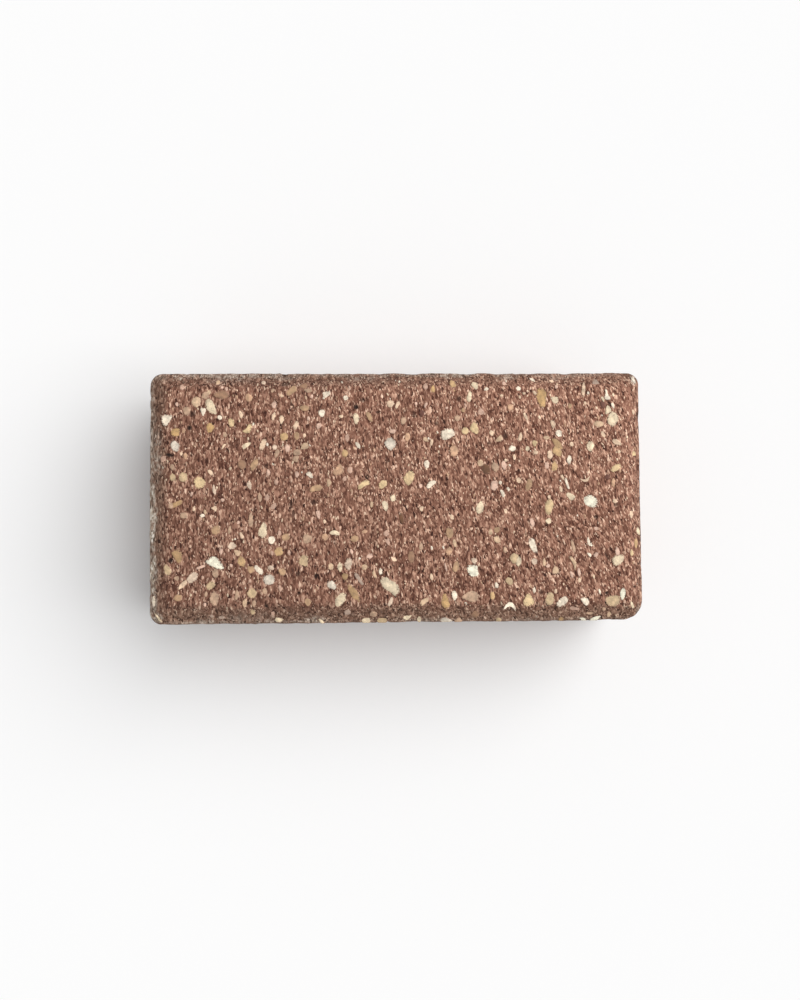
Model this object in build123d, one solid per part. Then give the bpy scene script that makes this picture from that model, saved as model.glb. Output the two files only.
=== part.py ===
from build123d import *
import os

# A rectangular concrete paving stone, pressed in a steel mould as one piece. Sizes are in millimetres.
# It lies on its bedding face: the origin is the middle of that face, +X runs along the length,
# +Y across the width and +Z up to the face that is walked on.

# The block between its plain sides
LENGTH = 200.0
WIDTH = 101.6
HEIGHT = 60.0
CORNER_RADIUS = 5.0

# The bevel that the press head forms around the upper face
BEVEL_WIDTH = 6.35
BEVEL_DROP = 4.75
UPPER_CORNER_RADIUS = 3.5
LOWER_ARRIS_RADIUS = 1.2
UPPER_ARRIS_RADIUS = 4.0

# The spacer nibs that keep a joint open beside the next stone
NIB_WIDTH = 9.0
NIB_STAND = 1.5
NIB_ROOT = 2.0
NIB_TOP_GAP = 14.0
NIB_LEAD = 5.0
NIB_STAGGER = 10.0

BEVEL_FOOT_HEIGHT = HEIGHT - BEVEL_DROP
NIB_HEIGHT = BEVEL_FOOT_HEIGHT - NIB_TOP_GAP
NIB_PITCH = LENGTH / 2


def level_edges(solid):
    """The solid's level edges, in groups from the lowest to the highest."""
    return solid.edges().filter_by(Plane.XY).group_by(Axis.Z)


def make_block():
    """Straight sides up to the foot of the bevel, then the bevel, drawn in to the upper face."""
    outline = RectangleRounded(LENGTH, WIDTH, CORNER_RADIUS)
    upper_outline = RectangleRounded(
        LENGTH - 2 * BEVEL_WIDTH, WIDTH - 2 * BEVEL_WIDTH, UPPER_CORNER_RADIUS
    )
    sections = [outline, Pos(0, 0, BEVEL_FOOT_HEIGHT) * outline, Pos(0, 0, HEIGHT) * upper_outline]
    block = loft(sections, ruled=True)

    lower_arris = level_edges(block)[1]
    block = fillet(lower_arris, LOWER_ARRIS_RADIUS)
    upper_arris = level_edges(block)[-1]
    return fillet(upper_arris, UPPER_ARRIS_RADIUS)


def make_nib():
    """One round-backed nib that stands out along -Y from the XZ plane, its root behind that plane.

    Its top slopes back into the side, so that the next stone slides down past it.
    """
    left, right = -NIB_WIDTH / 2, NIB_WIDTH / 2
    root = Polyline((right, 0), (right, NIB_ROOT), (left, NIB_ROOT), (left, 0))
    back = ThreePointArc((left, 0), (0, -NIB_STAND), (right, 0))
    rib = extrude(make_face(root + back), NIB_HEIGHT)
    slope = Plane(origin=(0, 0, NIB_HEIGHT), x_dir=(1, 0, 0), z_dir=(0, -NIB_LEAD, NIB_STAND))
    return split(rib, bisect_by=slope, keep=Keep.BOTTOM)


def make_nibs():
    """Two nibs on each long side and one on each end, the same on the stone turned half round.

    The stagger sets them off the even spacing, so that they miss the nibs of the next stone.
    """
    nib = make_nib()
    places = [
        Pos(-NIB_PITCH / 2 - NIB_STAGGER, -WIDTH / 2, 0),
        Pos(NIB_PITCH / 2 - NIB_STAGGER, -WIDTH / 2, 0),
        Pos(LENGTH / 2, -NIB_STAGGER, 0) * Rot(0, 0, 90),
    ]
    half_turn = Rot(0, 0, 180)
    return [turn * place * nib for turn in (Rot(), half_turn) for place in places]


def make_paving_stone():
    """The block and its nibs as one solid."""
    stone = make_block()
    for nib in make_nibs():
        stone = stone + nib
    return stone


os.makedirs("parts", exist_ok=True)
export_step(make_paving_stone(), "parts/paving_stone.step")
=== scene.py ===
import itertools
import math

import bmesh
import bpy
import numpy as np
from mathutils import Matrix, Vector
from mathutils.bvhtree import BVHTree


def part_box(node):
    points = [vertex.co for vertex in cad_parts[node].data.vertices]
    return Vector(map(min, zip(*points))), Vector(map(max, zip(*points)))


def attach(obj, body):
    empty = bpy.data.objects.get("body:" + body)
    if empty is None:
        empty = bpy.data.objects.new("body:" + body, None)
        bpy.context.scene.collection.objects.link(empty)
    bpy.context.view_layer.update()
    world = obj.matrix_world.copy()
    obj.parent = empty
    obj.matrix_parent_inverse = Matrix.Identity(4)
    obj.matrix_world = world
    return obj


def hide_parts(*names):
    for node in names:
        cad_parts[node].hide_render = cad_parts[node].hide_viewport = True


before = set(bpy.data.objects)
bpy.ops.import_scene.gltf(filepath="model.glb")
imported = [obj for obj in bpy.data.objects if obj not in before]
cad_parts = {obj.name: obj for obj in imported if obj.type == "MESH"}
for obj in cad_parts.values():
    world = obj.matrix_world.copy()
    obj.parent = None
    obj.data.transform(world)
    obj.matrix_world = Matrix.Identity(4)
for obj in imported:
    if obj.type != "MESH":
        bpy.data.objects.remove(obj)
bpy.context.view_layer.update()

# Lengths are in metres, and MM turns millimetres into them. Photograph places are in pixels.
MM = 0.001
RANDOM_SEED = 48

# The photograph's frame, and the camera that sees the stone's outline where the photograph has it
IMAGE_WIDTH = 800
IMAGE_HEIGHT = 1000
SENSOR_HEIGHT = 36.0
CAMERA_DISTANCE = 400 * MM
PIXELS_PER_METRE = 2456.0
CAMERA_NEAR_TILT = math.radians(2.56)
CAMERA_LEFT_TILT = math.radians(-2.03)
CAMERA_ROLL = math.radians(-0.46)
STONE_CENTRE_X_PIXEL = 397.3
STONE_CENTRE_Y_PIXEL = 497.2
FOCAL_PIXELS = PIXELS_PER_METRE * CAMERA_DISTANCE

# Light: a wide soft key from the right and a little behind, and an even sky, over a white floor
KEY_ELEVATION = math.radians(50)
KEY_AZIMUTH = math.radians(22)
KEY_ANGLE = math.radians(70)
KEY_SHARE = 0.65
SKY_SHARE = 0.35
FLOOR_SIZE = 8.0
FLOOR_WHITE = 0.98

# The stone's own sizes, as in the CAD model
NIB_STAND = 1.5 * MM
BEVEL_WIDTH = 6.35 * MM
BEVEL_DROP = 4.75 * MM
STONE_LOW, STONE_HIGH = (np.array(corner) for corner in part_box("paving_stone"))
HALF_LENGTH = STONE_HIGH[0] - NIB_STAND
HALF_WIDTH = STONE_HIGH[1] - NIB_STAND
TOP = STONE_HIGH[2]
BEVEL_FOOT = TOP - BEVEL_DROP

# Mesh steps. Faces are thinned, by these weights, where a surface faces less far up than these two values.
# A direction that is nearer to Y than GUIDE_LIMIT is guided by Z.
BODY_STEP = 0.58 * MM
BODY_FACES = 194000
OUTLINE_POINTS = 24
THIN_ASIDE = 0.2
THIN_BELOW = -0.5
THIN_ASIDE_WEIGHT = 0.6
THIN_BELOW_WEIGHT = 1.0
GUIDE_LIMIT = 0.7
TINY_AREA = 1e-15

# The map that colours are kept on. A small stone takes up this much of its own square of it, to each side of
# the middle. The body has charts for its upper face, its sides and its underside, each with its direction,
# its axes across and up, its low corner, and its scale in maps to the metre.
MAP_FILL = 0.44
UPPER_CHART_SCALE = 0.994 / (2 * STONE_HIGH[0])
SIDE_CHART_SCALE = 0.0027 / MM
UNDER_CHART_SCALE = 0.0020 / MM
UPPER_CHART_PULL = 1.6
CHARTS = [
    ((0, 0, 1), 0, 1, (0.003, 0.5), UPPER_CHART_SCALE),
    ((0, -1, 0), 0, 2, (0.004, 0.004), SIDE_CHART_SCALE),
    ((0, 1, 0), 0, 2, (0.004, 0.172), SIDE_CHART_SCALE),
    ((-1, 0, 0), 1, 2, (0.004, 0.34), SIDE_CHART_SCALE),
    ((1, 0, 0), 1, 2, (0.3, 0.34), SIDE_CHART_SCALE),
    ((0, 0, -1), 0, 1, (0.57, 0.02), UNDER_CHART_SCALE),
]

# How each edge of the upper face has worn, and the light painted on it: how far its bevel has grown, how
# wide the dirt lies, how thick, how much painted shade, with some dirt, darkens the band along it, and how
# much pale dust with a painted highlight is on its rim. Left is -X, and near is -Y, which is low in the
# photograph.
EDGE_WEAR_AND_PAINTED_LIGHT = {
    "left": {"grown": 1.8 * MM, "dirt_width": 6.1 * MM, "dirt": 0.85, "shade": 1.0, "dust_and_highlight": 0.7},
    "right": {"grown": 0.0 * MM, "dirt_width": 4.0 * MM, "dirt": 0.15, "shade": 0.85, "dust_and_highlight": 0.05},
    "near": {"grown": 1.0 * MM, "dirt_width": 6.6 * MM, "dirt": 0.75, "shade": 1.0, "dust_and_highlight": 0.15},
    "far": {"grown": 0.0 * MM, "dirt_width": 5.0 * MM, "dirt": 0.4, "shade": 0.8, "dust_and_highlight": 0.05},
}

# The worn near right corner, and the shares of the stone's height where its wear starts and is full
WORN_CORNER_RADIUS = 9 * MM
WORN_CORNER_SHARES = (0.3, 0.9)

# The far right of the upper face is paler than the near left
FADE_MIDDLE = 1.06
FADE_ALONG = 0.16
FADE_ACROSS = 0.095

# The sand grains are drawn out across the stone, and toward its right end they lean
GRAIN_STRETCH = 2.9
SIDE_GRAIN_STRETCH = 2.0
GRAIN_LEAN = 0.125
GRAIN_LEAN_PER_METRE = 1.7
GRAIN_LEAN_MOST = 0.3

# How far up a surface faces, from 0 sideways to 1 straight up, where each of these starts and is full
FACING = {
    "worn": (0.25, 0.75),
    "off_side": (0.2, 0.6),
    "clean": (0.25, 0.6),
    "grained": (0.2, 0.5),
    "dark": (0.0, 0.4),
    "sandy": (0.5, 0.8),
}

# Factors that stir the corners of a lattice into random numbers, for the layers and spots below
STIR_AXES = (73856093, 19349663, 83492791)
STIR_SEED = 2654435761
STIR_AGAIN = 1274126177

# Layers of smooth bumps: how high, how large, how far drawn out upward, and a seed
LAYERS = {
    "bevel_edge": [(0.7 * MM, 6 * MM, 1, 1), (0.4 * MM, 2.2 * MM, 1, 2)],
    "swells": [(0.22 * MM, 30 * MM, 1, 4)],
    "face": [(0.14 * MM, 6 * MM, 1, 5)],
    "grains": [(0.17 * MM, 2.0 * MM, 1, 6), (0.14 * MM, 1.05 * MM, 1, 7)],
    "sides": [(0.10 * MM, 1.6 * MM, 12, 8), (0.12 * MM, 2.4 * MM, 1, 10)],
    "dirt_edge": [(1.0 * MM, 5 * MM, 1, 21), (1.0 * MM, 1.6 * MM, 1, 22)],
    "patches": [(0.5, 9 * MM, 1, 23)],
    "bloom": [(1.0, 14 * MM, 2.5, 24), (0.6, 5 * MM, 2, 26), (0.3, 1.8 * MM, 1, 27)],
}

# Scattered spots: the size of their pattern, a seed, and the values of it where a spot starts and is full
SPOTS = {
    "chips": (7 * MM, 3, 0.4, 0.9),
    "voids": (4.5 * MM, 9, 0.55, 0.85),
    "speckles": (1.3 * MM, 25, -0.5, 0.4),
}

# Relief: how deep chips, voids, holes and the seats of stones are, where on the rims the chips lie, and
# how soft the edges of seats and holes are, as shares of their size
CHIP_DEPTH = 0.5 * MM
CHIP_STEEPNESS = (0.1, 0.6)
UPPER_RIM_HEIGHT = 2.0 * MM
LOWER_RIM_HEIGHT = 2.5 * MM
VOID_DEPTH = 0.8 * MM
SEAT_DEPTH = 0.15 * MM
SEAT_SOFTNESS = 0.12
HOLE_DEPTH = 0.6 * MM
HOLE_SOFTNESS = 0.35

# Dirt, pale dust with a painted highlight on the rims, painted shade in the holes and along the edges, and
# darker bands: how soft their edges are, how thin they get in patches, and how they lie on the sides
HOLE_SHADE_SOFTNESS = 0.4
DARK_BAND_SOFTNESS = 0.8
DUST_AND_HIGHLIGHT_SOFTNESS = 0.6
DUST_AND_HIGHLIGHT_LEAST = 0.15
RIM_DUST_AND_HIGHLIGHT_LEAST = 0.3
RIM_DUST_AND_HIGHLIGHT_WIDTHS = (1.0 * MM, 2.0 * MM)
RIM_DUST_AND_HIGHLIGHT_RAGGED = 0.35
DIRT_SOFT_WIDTH = 3 * MM
SIDE_DIRT = 0.5
SIDE_DIRT_PATCHES = 0.4
SIDE_DUST_AND_HIGHLIGHT_REACH = 5 * MM
BLOOM_RANGE = (-0.1, 0.9)
BLOOM_MOST = 0.15
SHADE_REACH = 1.6

# The listed stones are pebbles, made of rings from a hidden foot to a worn crown: how wide, and how high
# from -1 to 1. Cement covers the rings below PEBBLE_BURIED, and PEBBLE_SPREAD makes up for what it hides.
# PEBBLE_LEVEL turns a pebble on the bevel toward level.
PEBBLE_RINGS = [(0.7, -1.0), (0.98, -0.3), (1.0, 0.15), (0.95, 0.55), (0.8, 0.82), (0.45, 0.97)]
PEBBLE_FOOT = -1.15
PEBBLE_CROWN = 1.0
PEBBLE_BURIED = 0.2
PEBBLE_RISE = 0.26 * MM
PEBBLE_DEPTH = 0.9 * MM
PEBBLE_SPREAD = 1.18
PEBBLE_LEVEL = 0.7
PEBBLE_SLANT = 0.05
PEBBLE_SHADES = (0.95, 1.05)

# Outlines: how far a drawn corner is cut off, and how the corners of a made-up stone lie around it
CORNER_CUT_SHARE = 0.2
FEWEST_CORNERS = 5
MOST_CORNERS = 7
CORNER_SHIFT = 0.3
CORNER_REACH = (0.78, 1.0)
FIRST_CORNER_TURN = 6.0
BLUNTNESS = 7

# Colours from here on are given from 0 to 255, as a screen shows them. Bare, dirty and dusty concrete run
# from the darkest grain at 0 to the palest at 1. The dusty ramp is also the painted highlight on the rims.
BARE_CONCRETE = [
    (0.0, (50, 27, 20)), (0.12, (83, 49, 38)), (0.35, (116, 78, 62)), (0.6, (143, 101, 83)),
    (0.8, (172, 128, 107)), (0.93, (209, 167, 142)), (1.0, (240, 204, 178)),
]
DIRTY_CONCRETE = [
    (0.0, (50, 32, 25)), (0.3, (102, 75, 60)), (0.6, (133, 102, 84)), (0.85, (162, 130, 109)),
    (1.0, (204, 174, 151)),
]
DUST_AND_HIGHLIGHT_CONCRETE = [(0.0, (104, 86, 72)), (0.4, (206, 188, 168)), (1.0, (255, 250, 238))]
# What the holes darken toward as painted shade, and what the darker bands darken toward
HOLE_SHADE_AND_BAND_COLOUR = (42, 27, 22)

# The concrete's patterns, their sizes in millimetres, and the shades that they give
NOISE_RANGE = (0.3, 0.7)
COARSE_GRAIN = 0.7
FINE_GRAIN = 0.44
GRAIN_PATCH = 3.0
GRAIN_PATCH_RANGE = (0.4, 0.56)
GRAIN_DOME = 0.8
SIDE_EVENNESS = 0.5
SIDE_GRAIN_NUMBER = 0.55
CLOUD_SIZE = 2.6
CLOUD_SHADES = (0.9, 1.1)
CONCRETE_ROUGHNESS = (0.96, 0.82)
CONCRETE_GLOSS = 0.3
CONCRETE_BUMP = 0.22 * MM
CONCRETE_BUMP_STRENGTH = 0.8

# The same for the stones in it, with a painted highlight toward each stone's middle and painted shade
# toward its rim
MOTTLE_SHADES = (0.66, 1.27)
MOTTLE_DETAIL = 4.0
STONE_GRAIN_SHADES = (0.9, 1.08)
# A painted highlight toward each stone's middle and painted shade toward its rim
DOME_LIGHT_RANGE = (0.3, 1.0)
PAINTED_DOME_LIGHT = (1.03, 0.95)
SPECK_SIZE = 0.4
SPECK_DETAIL = 1.0
SPECK_RANGE = (0.62, 0.72)
SPECK_MOST = 0.55
SPECK_COLOUR = (126, 104, 88)
RAGGED_RIM_SIZE = 0.55
COVER_RANGE = (0.76, 1.0)
COVER_SHADE = 0.9
STONE_GLOSS = 0.4
STONE_BUMP_SIZE = 0.5
STONE_BUMP_DETAIL = 3.0
STONE_BUMP = 0.08 * MM
STONE_BUMP_STRENGTH = 0.6

# Colours of the sand and fine gravel, each after its share
SAND_COLOURS = [
    (0.26, (154, 113, 93)), (0.30, (182, 141, 118)), (0.24, (210, 171, 146)), (0.12, (236, 203, 176)),
    (0.08, (92, 58, 46)),
]
GRAVEL_COLOURS = [
    (0.3, (206, 168, 143)), (0.3, (222, 184, 160)), (0.2, (192, 155, 126)), (0.15, (232, 206, 176)),
    (0.05, (244, 230, 208)),
]
SIDE_COLOURS = [
    (0.4, (136, 106, 90)), (0.35, (156, 126, 108)), (0.2, (178, 150, 131)), (0.05, (202, 180, 158)),
]
DIRTY_GRAIN = (124, 98, 83)
DIRTY_GRAIN_SHARE = 0.8
GRAIN_SHADES = (0.88, 1.12)

# The sand and fine gravel: how many, how large, how drawn out at most, how far sunk as shares of the
# height, their colours, and how finely each is divided
GRAINS = {
    "sand": {
        "count": 8500, "sizes": (0.55 * MM, 1.05 * MM), "longest": 2.6, "sunk": (0.45, 0.85),
        "colours": SAND_COLOURS, "divisions": 1,
    },
    "gravel": {
        "count": 700, "sizes": (0.95 * MM, 1.6 * MM), "longest": 1.5, "sunk": (0.5, 0.85),
        "colours": GRAVEL_COLOURS, "divisions": 2,
    },
    "side_sand": {
        "count": 3500, "sizes": (0.6 * MM, 1.3 * MM), "longest": 1.6, "sunk": (0.65, 0.95),
        "colours": SIDE_COLOURS, "divisions": 1,
    },
    "side_gravel": {
        "count": 220, "sizes": (1.6 * MM, 4.2 * MM), "longest": 1.5, "sunk": (0.75, 0.95),
        "colours": SIDE_COLOURS, "divisions": 2,
    },
}

# A grain's least length, width, height and knobs as shares of its size, how far its turn strays in radians,
# and how clear the grains keep of the edges and of the listed stones and holes
GRAIN_SHORTEST = 1.1
GRAIN_WIDTHS = (0.6, 0.9)
GRAIN_HEIGHT = 0.75
GRAIN_KNOBS = (0.78, 1.15)
GRAIN_SPIN = 0.25
SAND_EDGE_GAP = 1.5 * MM
SIDE_EDGE_GAP = 5 * MM
TAKEN_SOFTNESS = 0.1

# Colours of the listed stones
STONE_COLOURS = {
    "white": (253, 236, 211),
    "pearl": (244, 237, 213),
    "butter": (240, 218, 184),
    "cream": (240, 208, 176),
    "yellow": (227, 197, 151),
    "gold": (208, 168, 115),
    "dull_gold": (181, 146, 105),
    "ochre": (206, 169, 122),
    "dull_ochre": (187, 151, 116),
    "brown": (160, 123, 96),
    "khaki": (205, 177, 139),
    "tan": (218, 185, 151),
    "dull_tan": (196, 162, 134),
    "peach": (213, 170, 136),
    "pink": (224, 186, 164),
    "dull_pink": (206, 168, 146),
    "sand": (223, 197, 172),
    "straw": (222, 203, 173),
    "grey": (222, 208, 189),
    "slate": (180, 155, 137),
    "olive": (106, 70, 44),
    "maroon": (106, 64, 50),
}

# The larger stones in the photograph, each drawn around in pixels
DRAWN_STONES = {
    "white": [
        [(162, 416.5), (165, 415), (168, 415.7), (172.5, 416), (169, 423), (165.5, 426.5), (162.5, 423)],
        [(200, 409), (203, 408), (206, 409), (205.3, 412.5), (203, 416.5), (201.5, 413)],
        [(323, 392.5), (326, 391.6), (330.3, 391.3), (330, 394.5), (325.5, 398.2), (323, 396.5)],
        [(343, 396.3), (346.5, 395.5), (348.5, 397.8), (347.5, 400), (344, 400.4)],
        [(318.6, 411.3), (321, 409.8), (324.5, 410), (325.2, 413), (322.5, 417.5), (319, 415)],
        [(483.8, 389), (486, 386.8), (488.7, 388.5), (487.5, 390.6), (484.3, 390.7)],
        [(515.6, 388), (518.3, 386.1), (520.6, 387.7), (520.3, 390.2), (517.3, 391)],
        [(529.3, 378), (532.5, 378), (535, 380.5), (534, 382.2), (530.8, 380.8)],
        [(508.2, 450), (509.5, 446.7), (512, 445.3), (514.8, 446.3), (515.7, 450), (512, 451.5)],
        [(555.6, 432.5), (558.5, 429.5), (561.2, 431), (561.9, 435), (559.5, 437.3), (556, 435.5)],
        [(605.2, 389), (606.9, 390.3), (608, 395), (611, 398.5), (607, 400), (603.5, 397.7), (605.3, 395.5)],
        [(610.8, 404), (612.5, 402.5), (614.4, 405.5), (614, 408.8), (611.8, 407)],
        [(566.8, 459.5), (568.5, 455.2), (570.7, 456), (571.5, 460), (569.5, 464.6), (567.5, 463)],
        [(305.7, 474.3), (308, 471.8), (311, 472.3), (312.8, 476.5), (311.8, 478.8)],
        [(268.2, 538), (271.5, 536), (274.6, 537.5), (275, 541), (272.3, 544.3), (269, 543)],
        [(424, 462.3), (426.5, 460.2), (429.3, 462), (429, 467), (426.5, 468.3), (424.3, 466)],
        [(426.7, 485), (430, 481), (435, 480.5), (436.3, 482.5), (429, 488.6), (426.8, 487.5)],
        [(499.8, 490.3), (502, 489.8), (504.7, 493), (504.6, 496.8), (502.5, 497.5)],
        [(506.2, 488), (508.5, 486.8), (510, 489.5), (508.3, 491.6)],
        [(586.8, 538.5), (588.3, 536.6), (590.3, 542), (589.8, 546.3), (587.6, 544)],
        [(580.2, 598.8), (583.5, 597.5), (587.8, 598.7), (588.8, 602), (587.5, 605.8), (584, 604.3)],
        [(586.5, 553), (589.5, 552.8), (591.6, 555), (590, 557.6)],
        [(451.5, 593), (454, 590.7), (456.6, 592.5), (457.5, 596), (455, 600.6), (452.7, 598.5)],
        [(494.5, 584), (496.5, 582), (498.8, 585.3), (497.3, 588.6), (495, 587)],
        [(564, 479), (566.5, 477.7), (569.5, 488.3), (567.5, 488.7)],
        [(217.3, 416), (220.5, 415), (222.2, 417.5), (221, 420), (218, 419.3)],
        [(378.6, 571), (380, 567.7), (382.2, 569.5), (382.2, 573.7), (379.8, 575)],
        [(355.2, 443), (357.5, 441.7), (360.2, 445.5), (360.2, 448.6), (357.2, 448)],
        [(442, 431), (450, 428), (455.2, 432.5), (453, 436.5), (448, 438.7), (443.3, 440.3), (441.3, 436)],
        [(528.6, 543), (529.4, 539.3), (533.6, 538.4), (535.4, 544),
         (537.3, 551.5), (535, 553), (531.3, 549.6)],
        [(556.6, 604), (558.6, 600), (563, 597.3), (566.2, 596.4),
         (567.6, 599.4), (566.2, 603.2), (561.5, 605.9), (558.2, 606.9)],
        [(253.8, 567), (256.5, 565.4), (260, 567.7), (262.8, 571),
         (262.4, 574.2), (259.4, 574.2), (256, 570.9)],
    ],
    "cream": [
        [(238.3, 411.5), (241, 410.8), (243, 414), (242.5, 418), (240, 418.3)],
        [(271.5, 417.8), (272.3, 414), (274.7, 412.4), (276, 415.5), (273, 421.3)],
        [(292.7, 426.7), (296.3, 420.6), (298.8, 423), (298, 426.7), (295.3, 429.8)],
        [(386.7, 402.5), (389.5, 400.2), (393.2, 401), (394.3, 404), (392, 407.3), (388.3, 407)],
        [(395, 407.2), (396.5, 403), (398.8, 401), (400.3, 403), (396.5, 409.3)],
        [(532, 391.2), (535, 390.8), (536.7, 393.5), (534.8, 395.6)],
        [(523, 414), (524.5, 412.2), (527.6, 417), (527.5, 420.8), (524.7, 418.5)],
        [(518, 438), (519.5, 433.8), (521.5, 432.4), (522.6, 436.5), (521, 440.8), (518.5, 441.3)],
        [(550.2, 421), (553.5, 420.2), (555.6, 424), (554.3, 427.8), (551.8, 427.5)],
        [(581.3, 391.5), (583, 382.4), (585, 384), (585.2, 390), (584, 396.6), (582, 396.5)],
        [(429.8, 575.5), (431.5, 573.2), (433.3, 576.5), (432.5, 580.4), (430.2, 579)],
        [(627.7, 513.5), (630, 510.2), (633, 512), (633.2, 516.2), (631, 518.3)],
        [(210.6, 508), (213.5, 506.8), (215.2, 505), (217, 508.5), (215.5, 511.6), (213.5, 510)],
        [(221.2, 450.3), (222, 446.5), (224.5, 443.4), (226.3, 445)],
        [(390.2, 556.3), (396.2, 558.3), (396.5, 561), (393, 561.8)],
        [(177.7, 590), (180.7, 583.5), (185.5, 580.3), (188, 582), (184.3, 587)],
        [(207.2, 471), (209.5, 469.3), (212.2, 471.3), (213.6, 475), (211, 475.7)],
        [(600.4, 432), (602.8, 431), (605.4, 435), (604.8, 437.6), (601.8, 436.3)],
        [(239.2, 533.3), (241, 532), (244.3, 537), (243.5, 539.3), (241.2, 538.7)],
        [(515.7, 479), (518.5, 477.2), (521.3, 479.5), (520.5, 482.8), (517.3, 482.8)],
        [(278.9, 418), (281, 415), (283, 416.2), (284.5, 419.5), (281.3, 425.4)],
        [(560, 476.5), (562, 474.2), (564.3, 477.5), (563.5, 480.8)],
        [(547.5, 452), (549.5, 449.5), (552, 452), (552.7, 456.5), (550.3, 459.6), (547.8, 458)],
        [(612.2, 441), (614.4, 438.8), (617.6, 439.4), (621, 443),
         (620.6, 445.4), (617, 444.8), (613.4, 443.8)],
        [(259.6, 446.5), (260.9, 442), (263.8, 439), (266.4, 440.1),
         (265.7, 445), (262.8, 449.8), (260.1, 450.2)],
    ],
    "yellow": [
        [(228.2, 419.3), (231.5, 418.2), (234.2, 420.5), (233.8, 425), (231.8, 427.3), (229, 425)],
        [(193.5, 481.5), (196, 477.8), (200, 476.7), (205.5, 482.3), (204, 486.7), (197, 488.8)],
        [(461.5, 429.5), (465, 427), (468.3, 429.5), (468.4, 432.7), (465, 434.6), (461.8, 433)],
        [(357.7, 486.5), (364, 480.2), (368.8, 480.8), (369.7, 484.7), (366, 485.3), (359.3, 489.8)],
        [(403.7, 478.5), (406.5, 473.2), (410, 471.2), (413.8, 473),
         (414.2, 478), (409, 485.8), (405.3, 483)],
        [(545.2, 506.5), (546.3, 502), (549.5, 499.2), (552.8, 502),
         (553.4, 507.5), (549, 515.8), (545.8, 511.5)],
        [(531.5, 442), (535, 440.2), (537.6, 442.5), (534.5, 447.3)],
        [(469.7, 427.5), (475, 420.2), (478.2, 429), (477.3, 434.8), (471, 431.2)],
        [(523.2, 601), (528.3, 592.2), (534.3, 600.5), (533, 604.3), (524.3, 606)],
        [(378.7, 484), (382, 480.2), (386.2, 480.8), (387.2, 485), (380.3, 489.8)],
        [(242.3, 431.2), (246.4, 428.6), (248.4, 424.2), (251.3, 423.8),
         (251.6, 428.5), (249.6, 432.8), (246, 433)],
        [(610.6, 470), (612.4, 466.6), (616.5, 464.4), (620.2, 464),
         (620.5, 467.5), (617.5, 470.4), (613.4, 472.2)],
    ],
    "ochre": [
        [(280.4, 434), (284, 432.7), (287.8, 434), (288, 438), (285, 440.8), (280.8, 439.7)],
        [(237.7, 561), (240, 556.2), (243, 557.2), (245.3, 561.5), (245, 566.8), (238.3, 564.7)],
        [(274.2, 551.5), (277, 548), (280.7, 547.5), (282.8, 550.5), (282.2, 554.7), (276, 556.3)],
    ],
    "dull_ochre": [
        [(286.2, 392.2), (294, 385), (296.6, 388), (296, 391.7), (288.3, 396.5)],
        [(211.2, 529), (215, 525.7), (219.7, 525.8), (220.2, 531), (217, 534.3), (212.3, 533.7)],
        [(365.2, 412.8), (368.5, 411.5), (371.7, 415.5), (372.5, 421.6), (368.8, 420.7)],
        [(309.8, 489.6), (312.4, 485.9), (317, 484.8), (321.6, 485.3),
         (322.5, 488.5), (319.5, 490.8), (315, 490.8), (311.4, 492.2)],
        [(452.6, 567.5), (454.2, 563), (457.3, 561.4), (459.4, 564),
         (458.7, 568.6), (456, 572), (453.3, 571.1)],
    ],
    "tan": [
        [(192.8, 399), (196, 396.9), (199.7, 398), (201.2, 401), (197, 408.3), (191.5, 403.5)],
        [(301.8, 444.5), (305, 442.2), (308.3, 444), (308.2, 448.2), (300.8, 449.8)],
        [(494.2, 441), (500.5, 434.5), (503, 438.5), (500.5, 441.8)],
        [(233.7, 549.8), (241.2, 551.3), (239.8, 555.3), (236.3, 556.3)],
        [(328, 565), (331.5, 563), (333.8, 565.5), (333, 569.6), (329.3, 569.8)],
        [(361.7, 565.3), (365.5, 564.2), (367.8, 567), (365.5, 570), (362, 569.6)],
        [(552.2, 570.7), (555, 565.7), (558.7, 568.5), (558.2, 573.2), (553.8, 574.3)],
        [(420.2, 603.7), (421.3, 600), (428.6, 597.2), (429, 600.7), (422.3, 605.8)],
        [(493.7, 537.5), (497, 535.7), (500.3, 538.5), (500.2, 542.2), (497.3, 543.3), (493.8, 540.5)],
        [(372, 573), (374, 569.5), (377.2, 577.8), (374.6, 577.8)],
        [(326.7, 484), (327.5, 479.2), (330, 479.5), (331.6, 483.5), (328.2, 487.6)],
        [(242.5, 601), (246.6, 598.7), (246.7, 604), (244.8, 608), (242.8, 605.5)],
        [(542.8, 560), (544.3, 558), (546, 562), (545, 566.4), (542.8, 565.3)],
        [(593.8, 423), (596, 420.9), (600, 421.2), (603.8, 422.5),
         (603, 425.8), (599, 427.2), (595.3, 426.1)],
    ],
    "dull_tan": [
        [(209.3, 600), (212.5, 591.7), (216.6, 592.2), (218.5, 597), (217.5, 603.7), (214, 606.3)],
        [(262, 589.5), (265, 587.7), (267.3, 590), (266.6, 594), (263.3, 594)],
        [(460.7, 597.7), (470, 590.8), (477.7, 592.8), (478.2, 600.2), (473, 602.3)],
    ],
    "peach": [
        [(507, 406), (510.5, 404), (513.6, 406.5), (512.5, 410.3), (508.7, 410.2)],
        [(332.8, 472.2), (336, 467.8), (339.3, 463.4), (342, 466),
         (343.8, 471.6), (340.6, 474.4), (335.4, 475.2)],
        [(246.3, 394.3), (249.5, 393.8), (252.5, 397), (251.5, 400.7), (248, 402.3), (245.3, 398.5)],
    ],
    "pink": [
        [(423.8, 405.7), (426, 402.2), (428.3, 403.2), (424.8, 408.3)],
        [(284.2, 446), (288, 444.2), (290.2, 447.5), (289.3, 451.8), (286.3, 452.3)],
        [(195.2, 570), (198, 566.3), (205, 565), (205, 567.3)],
        [(365.7, 557.3), (368.5, 553.7), (372.7, 554.1), (372.7, 557.6), (369, 558.8)],
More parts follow.
